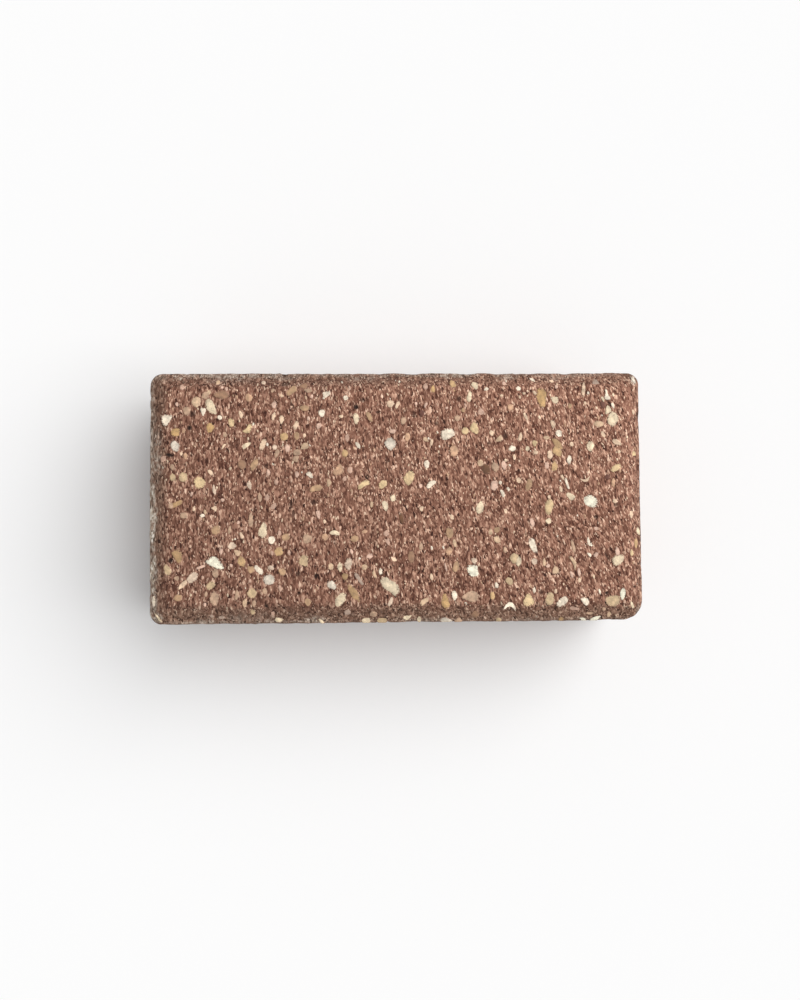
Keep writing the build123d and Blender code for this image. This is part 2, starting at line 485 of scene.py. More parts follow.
        [(545.2, 566.7), (548, 563.2), (550.3, 565.8), (548.5, 567.8)],
        [(316, 424.5), (320, 422.7), (322, 425.5), (317.7, 430.3)],
        [(218.7, 551), (220.5, 548.2), (223.6, 549.5), (221, 555.8)],
        [(593.2, 555), (595.5, 552.2), (598.6, 552.8), (597, 556.6), (594.2, 557.2)],
    ],
    "grey": [
        [(384, 443.5), (386.5, 439.8), (390, 437.7), (394.2, 440), (396, 445), (390.5, 451.3)],
        [(440.3, 619.5), (444, 616.3), (453, 620.3), (447, 623), (441.3, 622.7)],
        [(327.2, 582.3), (332.5, 580.5), (336.6, 586), (334, 589.8), (328, 587.3)],
        [(263.3, 579.5), (264.8, 576), (268.5, 574.4), (272.6, 575.3),
         (274.6, 579), (273.6, 582.8), (269.5, 584.6), (265.3, 583.5)],
        [(170.6, 444.5), (172.2, 441.2), (175.5, 440.6), (178.7, 444),
         (179.3, 449), (176.5, 451.7), (172.6, 450)],
    ],
    "slate": [
        [(353.7, 574.7), (357, 572.7), (363.7, 583.5), (362, 585.8)],
    ],
    "butter": [
        [(565.7, 494.2), (569, 492.2), (575.8, 496.5), (573.5, 499.8), (570, 500)],
        [(550, 397.2), (557.7, 397), (558.2, 400.5), (556.5, 403.8), (553, 402.8)],
        [(586, 447), (588.5, 441.8), (592.7, 441.8), (594.3, 446), (590.3, 452.2)],
        [(403, 618.5), (405, 615.2), (412.3, 614), (407.5, 620.8)],
        [(605.2, 414.5), (606.3, 406.3), (608.5, 405.8), (611.3, 409.5), (610.5, 412.3)],
        [(337.5, 566.5), (339, 562.5), (341.3, 562.8), (342.5, 567), (341.3, 571.3), (338.6, 571.2)],
        [(154.2, 612.7), (158, 614.8), (162.7, 622.3), (159.3, 621.7)],
        [(416.8, 620), (418, 616.2), (420.7, 615.8), (421, 620.2), (419.3, 622.8)],
        [(361.5, 620.5), (364, 617.2), (369, 616.7), (370.7, 619.5), (369.5, 623.2), (364.3, 623.8)],
        [(628.7, 599.7), (630.5, 599.2), (635, 607.3), (632, 608.8)],
        [(466.3, 399), (468.3, 393), (469.5, 390.7), (471.8, 394), (471, 399), (469, 402.6)],
        [(318, 618.8), (320.5, 618), (325, 623), (321.3, 623.7)],
        [(274.7, 619.5), (276.5, 616.7), (284, 619), (281, 622.2), (276.3, 622)],
        [(206, 402), (208.5, 399.5), (212, 400.5), (215.5, 408),
         (217.3, 415.3), (209.5, 412.2), (206.3, 407.5)],
        [(600.5, 396.8), (602.7, 396.6), (604.3, 399), (603.8, 402.3), (602, 400.3)],
        [(389.7, 497), (393.5, 494.5), (395.8, 497), (395, 500.8), (391.3, 501.6)],
        [(525, 449), (527, 445.6), (529.7, 447.3), (529, 450.3), (526.3, 451.2)],
        [(635.6, 530), (637.5, 526.7), (639.8, 530), (640, 535.7), (636, 533)],
        [(607, 420.5), (610, 412.8), (613.5, 411.7), (617.2, 415),
         (618.3, 420), (613.5, 426.3), (609.3, 424.7)],
        [(242.7, 447.5), (243.5, 444.3), (250.8, 441.7), (250.5, 444.7), (244, 449.6)],
        [(470.7, 384.5), (473, 382), (476.2, 382.3), (478, 385.5), (477.3, 389.6), (474.7, 389.5)],
        [(353.2, 414.5), (356.5, 413.2), (358.7, 416), (358.5, 421), (356.5, 424.3), (354, 422.5)],
        [(258, 531.5), (263.8, 521.1), (266.2, 525), (266.6, 532),
         (265.8, 536.3), (262, 537.6), (258.8, 535)],
        [(335.2, 600), (337.3, 596.3), (342, 593), (345.5, 594.3),
         (345.5, 600), (342.2, 603.7), (338.5, 606.8), (335.8, 604.8)],
        [(612.6, 558.5), (615, 556.2), (619, 555.5), (623, 555), (624, 558.5),
         (621.6, 562.6), (618, 564.8), (615, 566), (613, 562.5)],
        [(475.6, 508), (478, 503.8), (481.6, 500.3), (483.4, 504),
         (483.1, 510.2), (480.5, 513.5), (476.8, 512.7)],
        [(330, 532), (334, 530.2), (338.7, 532), (339.3, 535.6), (330.3, 534.2)],
        [(515.6, 561), (517.4, 557.4), (520.4, 556.8), (521.5, 560.5),
         (520.6, 565.1), (518.2, 566.5), (516.2, 564.6)],
    ],
    "straw": [
        [(380.3, 581.5), (383, 577.8), (387, 577.3), (390.3, 580.7), (395, 582.5),
         (398.5, 587), (398.3, 592), (394.8, 595.8), (389.5, 591), (384.5, 588.7)],
        [(381.5, 503), (384.5, 500.7), (387.5, 503), (388, 508), (385.5, 512.3)],
    ],
    "gold": [
        [(537.8, 389.8), (541.5, 389), (545.3, 391), (546.6, 396),
         (544.5, 406.6), (541, 407.3), (536.5, 398)],
        [(430.2, 391), (433, 384), (435, 389), (434.5, 392.8)],
        [(206.7, 425), (210, 422.5), (215.2, 427), (210, 433.3), (207, 431)],
        [(171.4, 429), (178.7, 428.2), (179.7, 432), (178.7, 436.3), (171.3, 435.7)],
        [(441.3, 603), (443.5, 593.7), (446.5, 594.2), (449.8, 605), (447, 608.6), (443.3, 607.2)],
    ],
    "dull_gold": [
        [(171.2, 553.3), (175, 550.5), (180.2, 551), (181.8, 556), (181.2, 562.2), (178, 563.3)],
        [(347.3, 584.6), (351.5, 585.6), (355.8, 589.2), (359, 595.5),
         (359.4, 602), (353.5, 598.5), (349.5, 593)],
        [(170.4, 506.5), (172.4, 503.3), (177, 501.4), (181.4, 500.1), (182, 503.5), (178, 506), (173, 508)],
    ],
    "khaki": [
        [(246.7, 593.5), (250.5, 588.2), (254.7, 588.8), (257, 593), (254.5, 597.3), (250, 597.8)],
        [(163.7, 566.3), (167, 564.2), (171.8, 571), (169, 575.3), (165.3, 573.7)],
        [(376.7, 620), (379.5, 616.7), (387.2, 618.3), (386, 622.8), (379.3, 623.2)],
        [(250.7, 610), (253, 608), (255.6, 610.5), (254.5, 614.3), (251.3, 614.8)],
        [(179, 475), (183, 472.2), (187, 474.5), (187.5, 478.5), (184.5, 481.8), (179.7, 480.7)],
        [(298.2, 561.5), (302.5, 555), (308.5, 556.5), (307, 560.5), (308.3, 566.8), (300.3, 564.8)],
        [(206, 586), (209.5, 581.7), (214.2, 582), (215.2, 586.5), (208.5, 590.6)],
        [(544.7, 601), (548.5, 592.2), (552.5, 592.8), (554, 598.5), (552.5, 604.3), (548, 604.8)],
        [(504.7, 580.5), (508, 577.2), (512.2, 579), (513.2, 583.2), (509.5, 585.6)],
        [(169.7, 476), (172.3, 473.4), (175.2, 475.5), (175.5, 479), (172.5, 481.3), (170, 479.3)],
        [(605.8, 600), (607.5, 596.6), (612, 596), (617, 595.6), (619.6, 597.5),
         (619.4, 602.5), (616, 605.8), (610.5, 605.9), (606.8, 603.8)],
        [(509.8, 558), (511.5, 554.4), (515, 553.2), (518.5, 555.4),
         (518, 560), (515.5, 563.6), (512, 562.9)],
    ],
    "pearl": [
        [(589.2, 619.7), (595, 614.8), (599.3, 614.5), (600.7, 617), (594, 622.3), (590.2, 622.3)],
        [(619.8, 593), (622, 588.7), (624.8, 588.3), (625.5, 593), (624, 598.2), (621.2, 600)],
        [(584.3, 497.5), (590.5, 494.8), (597.3, 499.7), (595.3, 507), (587, 506), (583.8, 501.8)],
        [(577.2, 615.2), (584, 616.5), (586.5, 620), (585, 623), (582.3, 621.5)],
        [(205, 562), (212, 556.8), (215.5, 556.8), (219, 560.5), (222.8, 566.5), (222, 569.3), (214, 567.5)],
        [(468, 566), (472, 565.5), (477, 565.5), (477.5, 571), (479, 575.3), (470.5, 576.7), (467.5, 570)],
    ],
    "sand": [
        [(344.2, 565), (348, 557.7), (351.2, 558.5), (352.2, 563), (350.8, 568.2), (348.3, 570.3)],
        [(387.2, 604.5), (391.3, 596.5), (393.2, 599.5), (391.8, 604.2), (389, 606)],
        [(530.7, 561), (533.5, 558), (536.7, 558.8), (537.2, 563), (534, 565.3)],
        [(272, 446.5), (274.5, 444.6), (277.3, 446), (276.8, 449.3), (274, 450.2)],
        [(268, 565.7), (273.6, 565.8), (273.7, 569.8), (268.3, 569.8)],
        [(212.3, 489), (213.5, 483.5), (216.3, 491), (215.5, 495), (213.3, 493)],
        [(471.3, 558.3), (476.3, 558.3), (477, 561.5), (474.5, 564.3), (471.8, 562)],
        [(246.8, 483), (249, 480.8), (251.2, 483), (251.5, 488.5), (250, 489.8), (247, 486.5)],
        [(186.6, 579.5), (190.5, 574), (194.5, 572.2), (197.9, 574.6),
         (196.3, 580), (191.5, 582.9), (188, 582.5)],
        [(227.2, 547), (231.5, 541.2), (236.6, 545.8), (234, 548.6), (230, 549)],
    ],
}

# The smaller stones: x, y, width and height in pixels, how far each is turned, in degrees against the
# clock, and, for curved slivers, how many pixels the two ends bend down before the turn
SMALL_STONES = {
    "white": [
        (588, 393, 2.5, 3, 0), (202.5, 515.7, 5, 3.6, 0), (154, 602, 3.5, 12, 0),
        (599.6, 591.5, 2, 5.5, 10), (509.5, 603.8, 11.5, 5, 0, 5.5), (534.2, 590.3, 3, 5.5, 0),
        (500.2, 482.5, 3, 4, 0),
    ],
    "cream": [
        (341, 416.6, 4.5, 3, 10), (431.5, 442.5, 3, 7, -10), (491.7, 433.4, 4.5, 5.5, 0),
        (514.3, 457, 3, 6, 0), (324.6, 521.5, 3.2, 4, 0), (421.5, 508.8, 4, 5, 0), (549, 497, 3, 4, 0),
        (561, 489, 3, 6, 10), (579.6, 580, 3, 5, 0), (555.5, 591, 3, 4.5, 0), (633, 412, 3, 5, 20),
        (551.6, 381.6, 4, 3.4, 0), (181.3, 454, 3, 3.4, 0), (281.6, 395.6, 3, 3.4, 0),
        (501.6, 395.6, 3.2, 2.8, 0), (524, 393.5, 3.4, 2.4, 0), (535.6, 452.5, 4.4, 3.8, 0),
        (571.6, 444, 4, 4.6, 0), (619, 451.6, 3, 3.6, 0), (585, 403, 2.4, 3.6, 20), (194, 508.5, 3, 5, 0),
        (505.6, 511, 3.2, 5, 10), (304.5, 435.5, 3, 4, 0), (451.8, 517, 3.6, 5.5, 15),
        (614.6, 501, 4, 4.5, 0), (519.6, 397, 2.2, 3.6, 0), (586, 480.5, 10, 2.8, 200, 3.5),
    ],
    "ochre": [
        (345, 453.2, 6, 7.5, 0), (453.3, 385.8, 5.6, 11.5, 20), (554.7, 466, 6, 10.5, 0),
        (557, 451.5, 8, 10.5, 30), (492.5, 595.5, 4.4, 7, 10), (635.7, 543.5, 4.2, 9, 0),
    ],
    "dull_ochre": [
        (449.8, 533, 7, 10, 0), (529, 484.8, 6, 12, -15), (496.8, 530, 5.5, 5.5, 0),
        (282.3, 572.3, 7, 7, 0), (308, 602.3, 6, 7.5, 0), (463, 410, 4, 4.4, 0), (570, 406.3, 4, 5.5, 0),
        (354.5, 538.6, 8, 6, 0), (178, 598, 8, 6.5, 20), (296.6, 436, 5, 7.5, 0), (304.6, 408, 9.5, 5.5, 0),
        (285.6, 537.3, 7.5, 7, 0), (254.5, 464.5, 6, 12, -30), (250.4, 569.8, 7.5, 7, -20),
    ],
    "tan": [
        (218.2, 383.2, 4.4, 5.5, 0), (480.4, 463, 5.5, 6.5, 0), (490.6, 531.8, 3.8, 6, 0),
        (371.6, 504.5, 3, 5.5, 0), (546.5, 437.7, 6, 4, 0), (609, 614, 4, 7.5, -20),
        (426, 439.6, 6, 4, -30), (209, 392.5, 4, 4.5, 0), (454.7, 543.3, 3.4, 7.6, 12),
        (574.3, 562.5, 14, 3.6, -70, 2.5), (205.2, 512, 3, 5, 10),
    ],
    "dull_tan": [
        (205, 395.6, 6.5, 7, 0), (277, 453.3, 4.6, 9, -10), (297, 452.3, 7, 6, 0),
        (457.3, 418.4, 5.5, 5.5, 0), (184, 515.6, 7, 6, 0), (260, 497.3, 4, 9, 0), (251, 520, 4.5, 13, 0),
        (215.3, 573.5, 6, 8.5, 0), (373.5, 613.3, 7.5, 7, 0), (421, 546.3, 4, 7, 0),
        (604, 608.5, 4, 4.5, 0), (589.5, 613, 8, 3, 0), (172, 467.3, 4, 6, 0), (225.2, 434.7, 4, 5, 0),
        (206, 594.3, 3, 5.6, 0), (254, 603.3, 4, 7, 0), (176.5, 578.6, 5, 4.4, 0), (495.3, 466.7, 7, 9, 20),
        (458.5, 620, 7.5, 6, 0), (308, 390.7, 8, 4, -10), (573, 546.3, 3.4, 14, 12),
        (505.2, 550, 3.4, 6, 0), (272.6, 390.6, 3, 4.5, -30), (306, 398, 2.2, 4.4, 15),
        (229.6, 530, 2.8, 8, -10), (403.6, 421, 5.6, 7, 0), (307.5, 539, 8.5, 8.5, 0),
        (186.7, 411, 7, 8, 0), (237, 594.7, 3.8, 10, 0), (171, 505.6, 4, 5.5, 0), (295.6, 459, 6.4, 6, 0),
    ],
    "peach": [
        (185.6, 456, 4, 6.5, 0), (325.4, 537, 6.4, 6.6, 0), (613.2, 482.6, 3.6, 9, 0),
        (454.3, 451, 8, 10, 10), (183.7, 431, 3.2, 4.5, 0), (364.6, 531.7, 6, 3.6, 10),
        (407.6, 437, 5, 8.5, 0), (449, 551, 6, 8, -15),
    ],
    "pink": [
        (222.2, 387.5, 3, 3, 0), (177, 404.5, 3, 4.2, 20), (274, 404.7, 5, 6.5, 0), (311.6, 396.7, 3, 4, 0),
        (308.5, 418.6, 3, 4.4, 0), (446.6, 408, 3, 2.6, 0), (504, 384, 3.4, 5.5, 10),
        (556.3, 387, 3, 3.4, 0), (222.6, 500.2, 4, 3.4, 0), (268.4, 472.6, 3.6, 7, 0),
        (297, 474.6, 4, 6, 0), (420.6, 486, 3.4, 4.4, 0), (494.2, 485.3, 7, 10, 0), (596, 528.6, 4, 3.6, 0),
        (231, 565.6, 3, 3.4, 0), (351.6, 551.7, 3, 5.5, 20), (205, 604.7, 3, 4, 0), (226.5, 389, 3, 4, 0),
        (445.7, 567, 2, 9, 12), (392.5, 431.2, 6.5, 4.5, 0), (504, 465.3, 5, 8.5, 10),
        (191.6, 494, 2.6, 5, -30), (571.7, 574.4, 3, 6.5, 18), (238.5, 522.5, 3, 3.6, 0),
        (416, 403.6, 2.6, 3.2, 0), (617.2, 551, 4.2, 8.5, 12), (546.7, 465.6, 4.4, 6.5, 0),
        (532.2, 522.6, 4.4, 8, 15), (579, 572, 3, 8, 8), (318.5, 514.6, 4, 8, 15),
    ],
    "grey": [
        (633.3, 380.5, 3.6, 7, 25),
    ],
    "slate": [
        (595.6, 382.8, 6.4, 6.6, 0), (347.4, 611.6, 6, 6, 0), (222, 617.3, 7, 3.4, 0), (212, 616, 4, 4, 0),
    ],
    "olive": [
        (401.5, 518, 4.5, 11, 15), (486, 469, 8, 11, 20),
    ],
    "maroon": [
        (422, 413, 5, 6, 0), (603, 405, 5, 6.5, 0), (607, 477, 5, 5, 0),
    ],
    "brown": [
        (241.8, 464.6, 8, 9, 0), (304, 386, 8, 6, 0), (221.5, 395, 14.5, 8, 0), (475.3, 614, 8, 8, 0),
        (411, 556.5, 6, 12, 0),
    ],
    "yellow": [
        (633.6, 453.6, 4.5, 5, 0), (631.6, 552.8, 4, 6.6, 0),
    ],
    "dull_pink": [
        (289, 552.6, 3, 5.5, 0), (387.8, 542, 4, 6.8, 10), (344.5, 478.6, 4, 4.6, 0),
        (273, 613, 3.4, 3.6, 0), (386, 533.3, 5, 5.8, 0), (280.2, 588.6, 3, 7, 12),
        (267, 497.5, 4.6, 6.6, 0), (276.2, 482.2, 3.6, 5.6, 0), (250, 581, 3, 3.5, 0),
        (273.6, 506.2, 4.4, 7.5, -38), (347, 438, 4, 8, 0), (425.3, 386.5, 4.5, 6.5, 0),
        (350, 470.3, 5, 6.5, 0), (574, 608.3, 10.5, 3.6, -8), (279.6, 533, 3.4, 5.6, 0),
        (272, 553, 3, 4.6, 20), (465.5, 405, 2, 4.5, 25), (481, 411.4, 6, 6.5, 0), (163.8, 459, 6, 6, 0),
        (182.4, 387.6, 4.6, 5.2, 0),
    ],
    "dull_gold": [
        (561, 619, 4.5, 5.5, 0), (345, 576.6, 6, 7, 0), (557.5, 444, 6, 14, 35),
    ],
    "khaki": [
        (498.7, 620, 5.5, 6, 0),
    ],
    "butter": [
        (548.3, 521, 5.5, 5.5, 0),
    ],
    "sand": [
        (263.6, 383.2, 4.2, 5, 0),
    ],
}

# Small holes, by how dark their painted shade is: x, y, width, height and turn, as for the small stones
HOLES = {
    0.7: [
        (505, 436, 5, 6, 0), (362, 400, 6, 4, 0), (398.7, 396.5, 3, 7, 0), (377.5, 412, 4.5, 3, 0),
        (292, 405.5, 2.6, 9, 30), (285, 384, 9, 5, 0), (192, 414, 6, 5, 0), (313.5, 502.5, 5, 6, 0),
        (291, 504, 3, 9, 0), (293, 514, 3, 7, 0), (266, 466, 4, 4.5, 0), (367, 477, 5, 4.5, 0),
        (414, 415, 3.4, 6, 0), (436, 423.5, 4.5, 4.5, 0), (444, 422, 4, 2.4, 0), (489, 443, 4, 4, 0),
        (459, 399, 5, 5, 0), (609.3, 403.5, 1.6, 13, 38), (616, 505, 5, 4, 0), (596, 517, 5, 4, 0),
        (298, 574, 5, 5.5, 0), (541, 592, 5, 5.5, 0), (607, 556, 2.4, 9, 35), (284.5, 375, 6, 5, 0),
    ],
    1.0: [
        (170.5, 560.5, 5, 5, 0), (356, 407, 5.5, 5, 0), (607, 593, 4, 3.4, 0), (299, 593, 3.4, 3.4, 0),
        (248, 603, 3, 3.4, 0), (189, 428, 4.5, 5, 0), (169, 455, 9, 4, -10), (266, 606, 4, 4, 0),
        (316, 576, 3.4, 5, 0),
    ],
}

# Pale dust with a painted highlight on the rims, and darker bands along the far and near bevels: x, y,
# width, height and turn, as for the small stones, and how thick they lie
DUST_AND_HIGHLIGHT = [
    (152, 515, 6, 66, 0, 1.2), (152, 534, 5, 26, 0, 1.4), (156, 458, 12, 50, 0, 0.4),
    (152, 415, 5, 60, 0, 0.35), (153, 575, 6, 50, 0, 1.2), (154, 602, 5, 18, 0, 1.4),
    (158, 618, 10, 10, 0, 0.7), (170, 377, 40, 6, 0, 0.35), (230, 375.5, 150, 5, 0, 0.4),
    (285, 376, 30, 8, 0, 0.35), (365, 375, 130, 4, 0, 0.3), (450, 375, 50, 5, 0, 0.5),
    (505, 376, 20, 8, 0, 0.35), (560, 375, 120, 3.6, 0, 0.2), (633, 380, 6, 9, 0, 0.8),
    (250, 622, 170, 3, 0, 0.25), (205, 622.5, 60, 3, 0, 0.4), (315, 620, 20, 8, 0, 0.4),
    (430, 621, 60, 5, 0, 0.25), (530, 620.5, 30, 5, 0, 0.25), (640, 612, 8, 14, 0, 0.5),
]
DARK_BANDS = [(290, 381, 270, 14, 0, 0.18), (250, 609, 200, 18, 0, 0.13)]


def screen_colour(red, green, blue):
    """A colour given as a screen shows it, from 0 to 255, as light, by the usual curve of screens."""
    shown = np.array([red, green, blue]) / 255
    return np.where(shown <= 0.04045, shown / 12.92, ((shown + 0.055) / 1.055) ** 2.4)


def smooth_step(low, high, value):
    share = np.clip((value - low) / (high - low), 0, 1)
    return share * share * (3 - 2 * share)


def facing(kind, upward):
    """How far a surface that faces up by this much takes on a kind of look, from 0 to 1."""
    return smooth_step(*FACING[kind], upward)


def at_least(least, share):
    """The share, drawn together so that it starts at this value and not at 0."""
    return least + (1 - least) * share


def lattice_noise(points, cell, seed):
    """Smooth random values from -1 to 1 at these points. cell is the size of a bump."""
    scaled = points / cell
    base = np.floor(scaled).astype(np.int64)
    part = scaled - base
    blend = part * part * (3 - 2 * part)
    total = np.zeros(len(points))
    for corner in itertools.product((0, 1), repeat=3):
        knot = (base + corner) * STIR_AXES
        mixed = knot[:, 0] ^ knot[:, 1] ^ knot[:, 2] ^ seed * STIR_SEED
        mixed = (mixed ^ mixed >> 13) * STIR_AGAIN & 0xFFFFFFFF
        value = ((mixed ^ mixed >> 16) & 0xFFFF) / 32767.5 - 1
        total += value * np.where(corner, blend, 1 - blend).prod(axis=1)
    return total


def bumps(points, name):
    """The named layers of smooth bumps, added up at these points."""
    total = np.zeros(len(points))
    for height, size, drawn_out, seed in LAYERS[name]:
        total += height * lattice_noise(points / (1, 1, drawn_out), size, seed)
    return total


def spots(points, name):
    """How far the named spots cover these points, from 0 to 1."""
    size, seed, start, full = SPOTS[name]
    return smooth_step(start, full, lattice_noise(points, size, seed))


def fade(points):
    """How much paler than its own colour the stone is at these points."""
    along = np.clip(points[:, 0] / HALF_LENGTH, -1, 1)
    across = np.clip(points[:, 1] / HALF_WIDTH, -1, 1)
    return FADE_MIDDLE + FADE_ALONG * along + FADE_ACROSS * across


def lean(points):
    """How far the grains lean to the left, as a slope, at these points."""
    return np.clip(GRAIN_LEAN + GRAIN_LEAN_PER_METRE * points[:, 0], 0, GRAIN_LEAN_MOST)


def along_grains(points):
    """Places in which a pattern comes out drawn along the grains."""
    across = points[:, 0] + lean(points) * points[:, 1]
    return np.column_stack([across, points[:, 1] / GRAIN_STRETCH, points[:, 2]])


def add_piece(name, data):
    piece = bpy.data.objects.new(name, data)
    bpy.context.scene.collection.objects.link(piece)
    return piece


def apply_modifiers(piece):
    graph = bpy.context.evaluated_depsgraph_get()
    mesh = bpy.data.meshes.new_from_object(piece.evaluated_get(graph))
    piece.modifiers.clear()
    piece.data = mesh


def read_vectors(items, name):
    values = np.empty(len(items) * 3)
    items.foreach_get(name, values)
    return values.reshape(-1, 3)


def write_values(mesh, name, values):
    mesh.attributes.new(name, "FLOAT", "POINT").data.foreach_set("value", values)


def write_colours(mesh, name, colours):
    rgba = np.column_stack([colours, np.ones(len(colours))])
    mesh.color_attributes.new(name, "FLOAT_COLOR", "POINT").data.foreach_set("color", rgba.ravel())


def write_map(mesh, places):
    """Writes each face corner's place on the map that the colours are kept on."""
    mesh.uv_layers.new(name="OFBake").uv.foreach_set("vector", places.ravel())


def join_as_body(piece, material):
    """Everything here is the one cast stone, so each piece rides on it and has its slot."""
    piece.data.materials.clear()
    piece.data.materials.append(material)
    piece.data.shade_smooth()
    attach(piece, "root")


class Graph:
    """A material's nodes, with a short call for each kind that is used here. Sizes are in millimetres."""

    def __init__(self, name):
        self.material = bpy.data.materials.new(name)
        self.material.use_nodes = True
        self.nodes = self.material.node_tree.nodes
        self.links = self.material.node_tree.links
        self.shader = self.nodes["Principled BSDF"]

    def feed(self, socket, value):
        if isinstance(value, bpy.types.NodeSocket):
            self.links.new(value, socket)
        else:
            socket.default_value = value

    def add(self, kind, inputs, **settings):
        node = self.nodes.new("ShaderNode" + kind)
        for name, value in settings.items():
            setattr(node, name, value)
        for name, value in inputs.items():
            self.feed(node.inputs[name], value)
        return node

    def places(self):
        """Places on the stone."""
        where = self.add("TexCoord", {}).outputs["Object"]
        return self.scale(where, 1 / MM)

    def grain_places(self):
        """The same, drawn along the grains."""
        x, y, z = self.add("SeparateXYZ", {"Vector": self.places()}).outputs
        slope = self.plus(self.times(x, GRAIN_LEAN_PER_METRE * MM), GRAIN_LEAN)
        slope = self.between(slope, (0.0, GRAIN_LEAN_MOST), (0.0, GRAIN_LEAN_MOST))
        across = self.plus(x, self.times(slope, y))
        along = self.over(y, GRAIN_STRETCH)
        upward = self.over(z, SIDE_GRAIN_STRETCH)
        on_top = self.add("CombineXYZ", {"X": across, "Y": along, "Z": z}).outputs[0]
        on_side = self.add("CombineXYZ", {"X": x, "Y": y, "Z": upward}).outputs[0]
        return self.add("Mix", {0: self.value("side"), 4: on_top, 5: on_side}, data_type="VECTOR").outputs[1]

    def noise(self, where, size, detail=2.0):
        return self.add("TexNoise", {"Vector": where, "Scale": 1 / size, "Detail": detail}).outputs[0]

    def grains(self, where, size):
        """Packed grains of about this size: a random number for each, and how far its middle is."""
        node = self.add("TexVoronoi", {"Vector": where, "Scale": 1 / size})
        number = self.add("SeparateColor", {"Color": node.outputs["Color"]}).outputs[0]
        return number, node.outputs["Distance"]

    def value(self, name):
        return self.add("Attribute", {}, attribute_name=name).outputs["Fac"]

    def colour(self, name):
        return self.add("Attribute", {}, attribute_name=name).outputs["Color"]

    def combine(self, how, first, second):
        return self.add("Math", {0: first, 1: second}, operation=how).outputs[0]

    def plus(self, first, second):
        return self.combine("ADD", first, second)

    def times(self, first, second):
        return self.combine("MULTIPLY", first, second)

    def over(self, first, second):
        return self.combine("DIVIDE", first, second)

    def between(self, value, seen, wanted=(0.0, 1.0)):
        """The value, with the range that it is seen in drawn out to the wanted one."""
        limits = {"From Min": seen[0], "From Max": seen[1], "To Min": wanted[0], "To Max": wanted[1]}
        return self.add("MapRange", {"Value": value, **limits}).outputs[0]

    def ramp(self, value, stops):
        node = self.add("ValToRGB", {"Fac": value})
        marks = node.color_ramp.elements
        while len(marks) < len(stops):
            marks.new(1.0)
        for mark, (place, shown) in zip(marks, stops):
            mark.position = place
            mark.color = self.plain(*shown)
        return node.outputs["Color"]

    def mix(self, share, first, second):
        return self.add("Mix", {0: share, 6: first, 7: second}, data_type="RGBA").outputs[2]

    def mix_values(self, share, first, second):
        return self.add("Mix", {0: share, 2: first, 3: second}, data_type="FLOAT").outputs[0]

    def scale(self, colour, by):
        return self.add("VectorMath", {"Vector": colour, "Scale": by}, operation="SCALE").outputs[0]

    def plain(self, *shown):
        return (*screen_colour(*shown), 1)

    def bump(self, height, depth, strength):
        node = self.add("Bump", {"Height": height, "Distance": depth, "Strength": strength})
        self.feed(self.shader.inputs["Normal"], node.outputs[0])

    def mosaic(self):
        """The concrete's sand as a mosaic of drawn-out grains: numbers and heights."""
        where = self.grain_places()
        coarse, coarse_middle = self.grains(where, COARSE_GRAIN)
        fine, fine_middle = self.grains(where, FINE_GRAIN)
        patch = self.between(self.noise(self.places(), GRAIN_PATCH), GRAIN_PATCH_RANGE)
        number = self.mix_values(patch, coarse, fine)
        middle = self.mix_values(patch, coarse_middle, fine_middle)
        return number, self.plus(number, self.times(middle, -GRAIN_DOME))


def make_concrete():
    """The cement and its sand, dark brown to pale pink: dirt, dust, holes, painted highlight and shade."""
    g = Graph("concrete")
    number, height = g.mosaic()
    number = g.mix_values(g.times(g.value("side"), SIDE_EVENNESS), number, SIDE_GRAIN_NUMBER)
    cloud = g.between(g.noise(g.places(), CLOUD_SIZE), NOISE_RANGE, CLOUD_SHADES)
    # fade also carries painted shade along the right and far edges
    colour = g.scale(g.ramp(number, BARE_CONCRETE), g.times(g.value("fade"), cloud))
    colour = g.mix(g.value("dirt"), colour, g.ramp(number, DIRTY_CONCRETE))
    # Pale dust, with a painted highlight on the rims
    colour = g.mix(g.value("dust_and_highlight"), colour, g.ramp(number, DUST_AND_HIGHLIGHT_CONCRETE))
    # Painted shade in the holes, and the darker bands
    colour = g.mix(g.value("dark"), colour, g.plain(*HOLE_SHADE_AND_BAND_COLOUR))
    g.feed(g.shader.inputs["Base Color"], colour)
    g.feed(g.shader.inputs["Roughness"], g.between(number, (0.0, 1.0), CONCRETE_ROUGHNESS))
    g.shader.inputs["Specular IOR Level"].default_value = CONCRETE_GLOSS
    g.bump(height, CONCRETE_BUMP, CONCRETE_BUMP_STRENGTH)
    return g.material


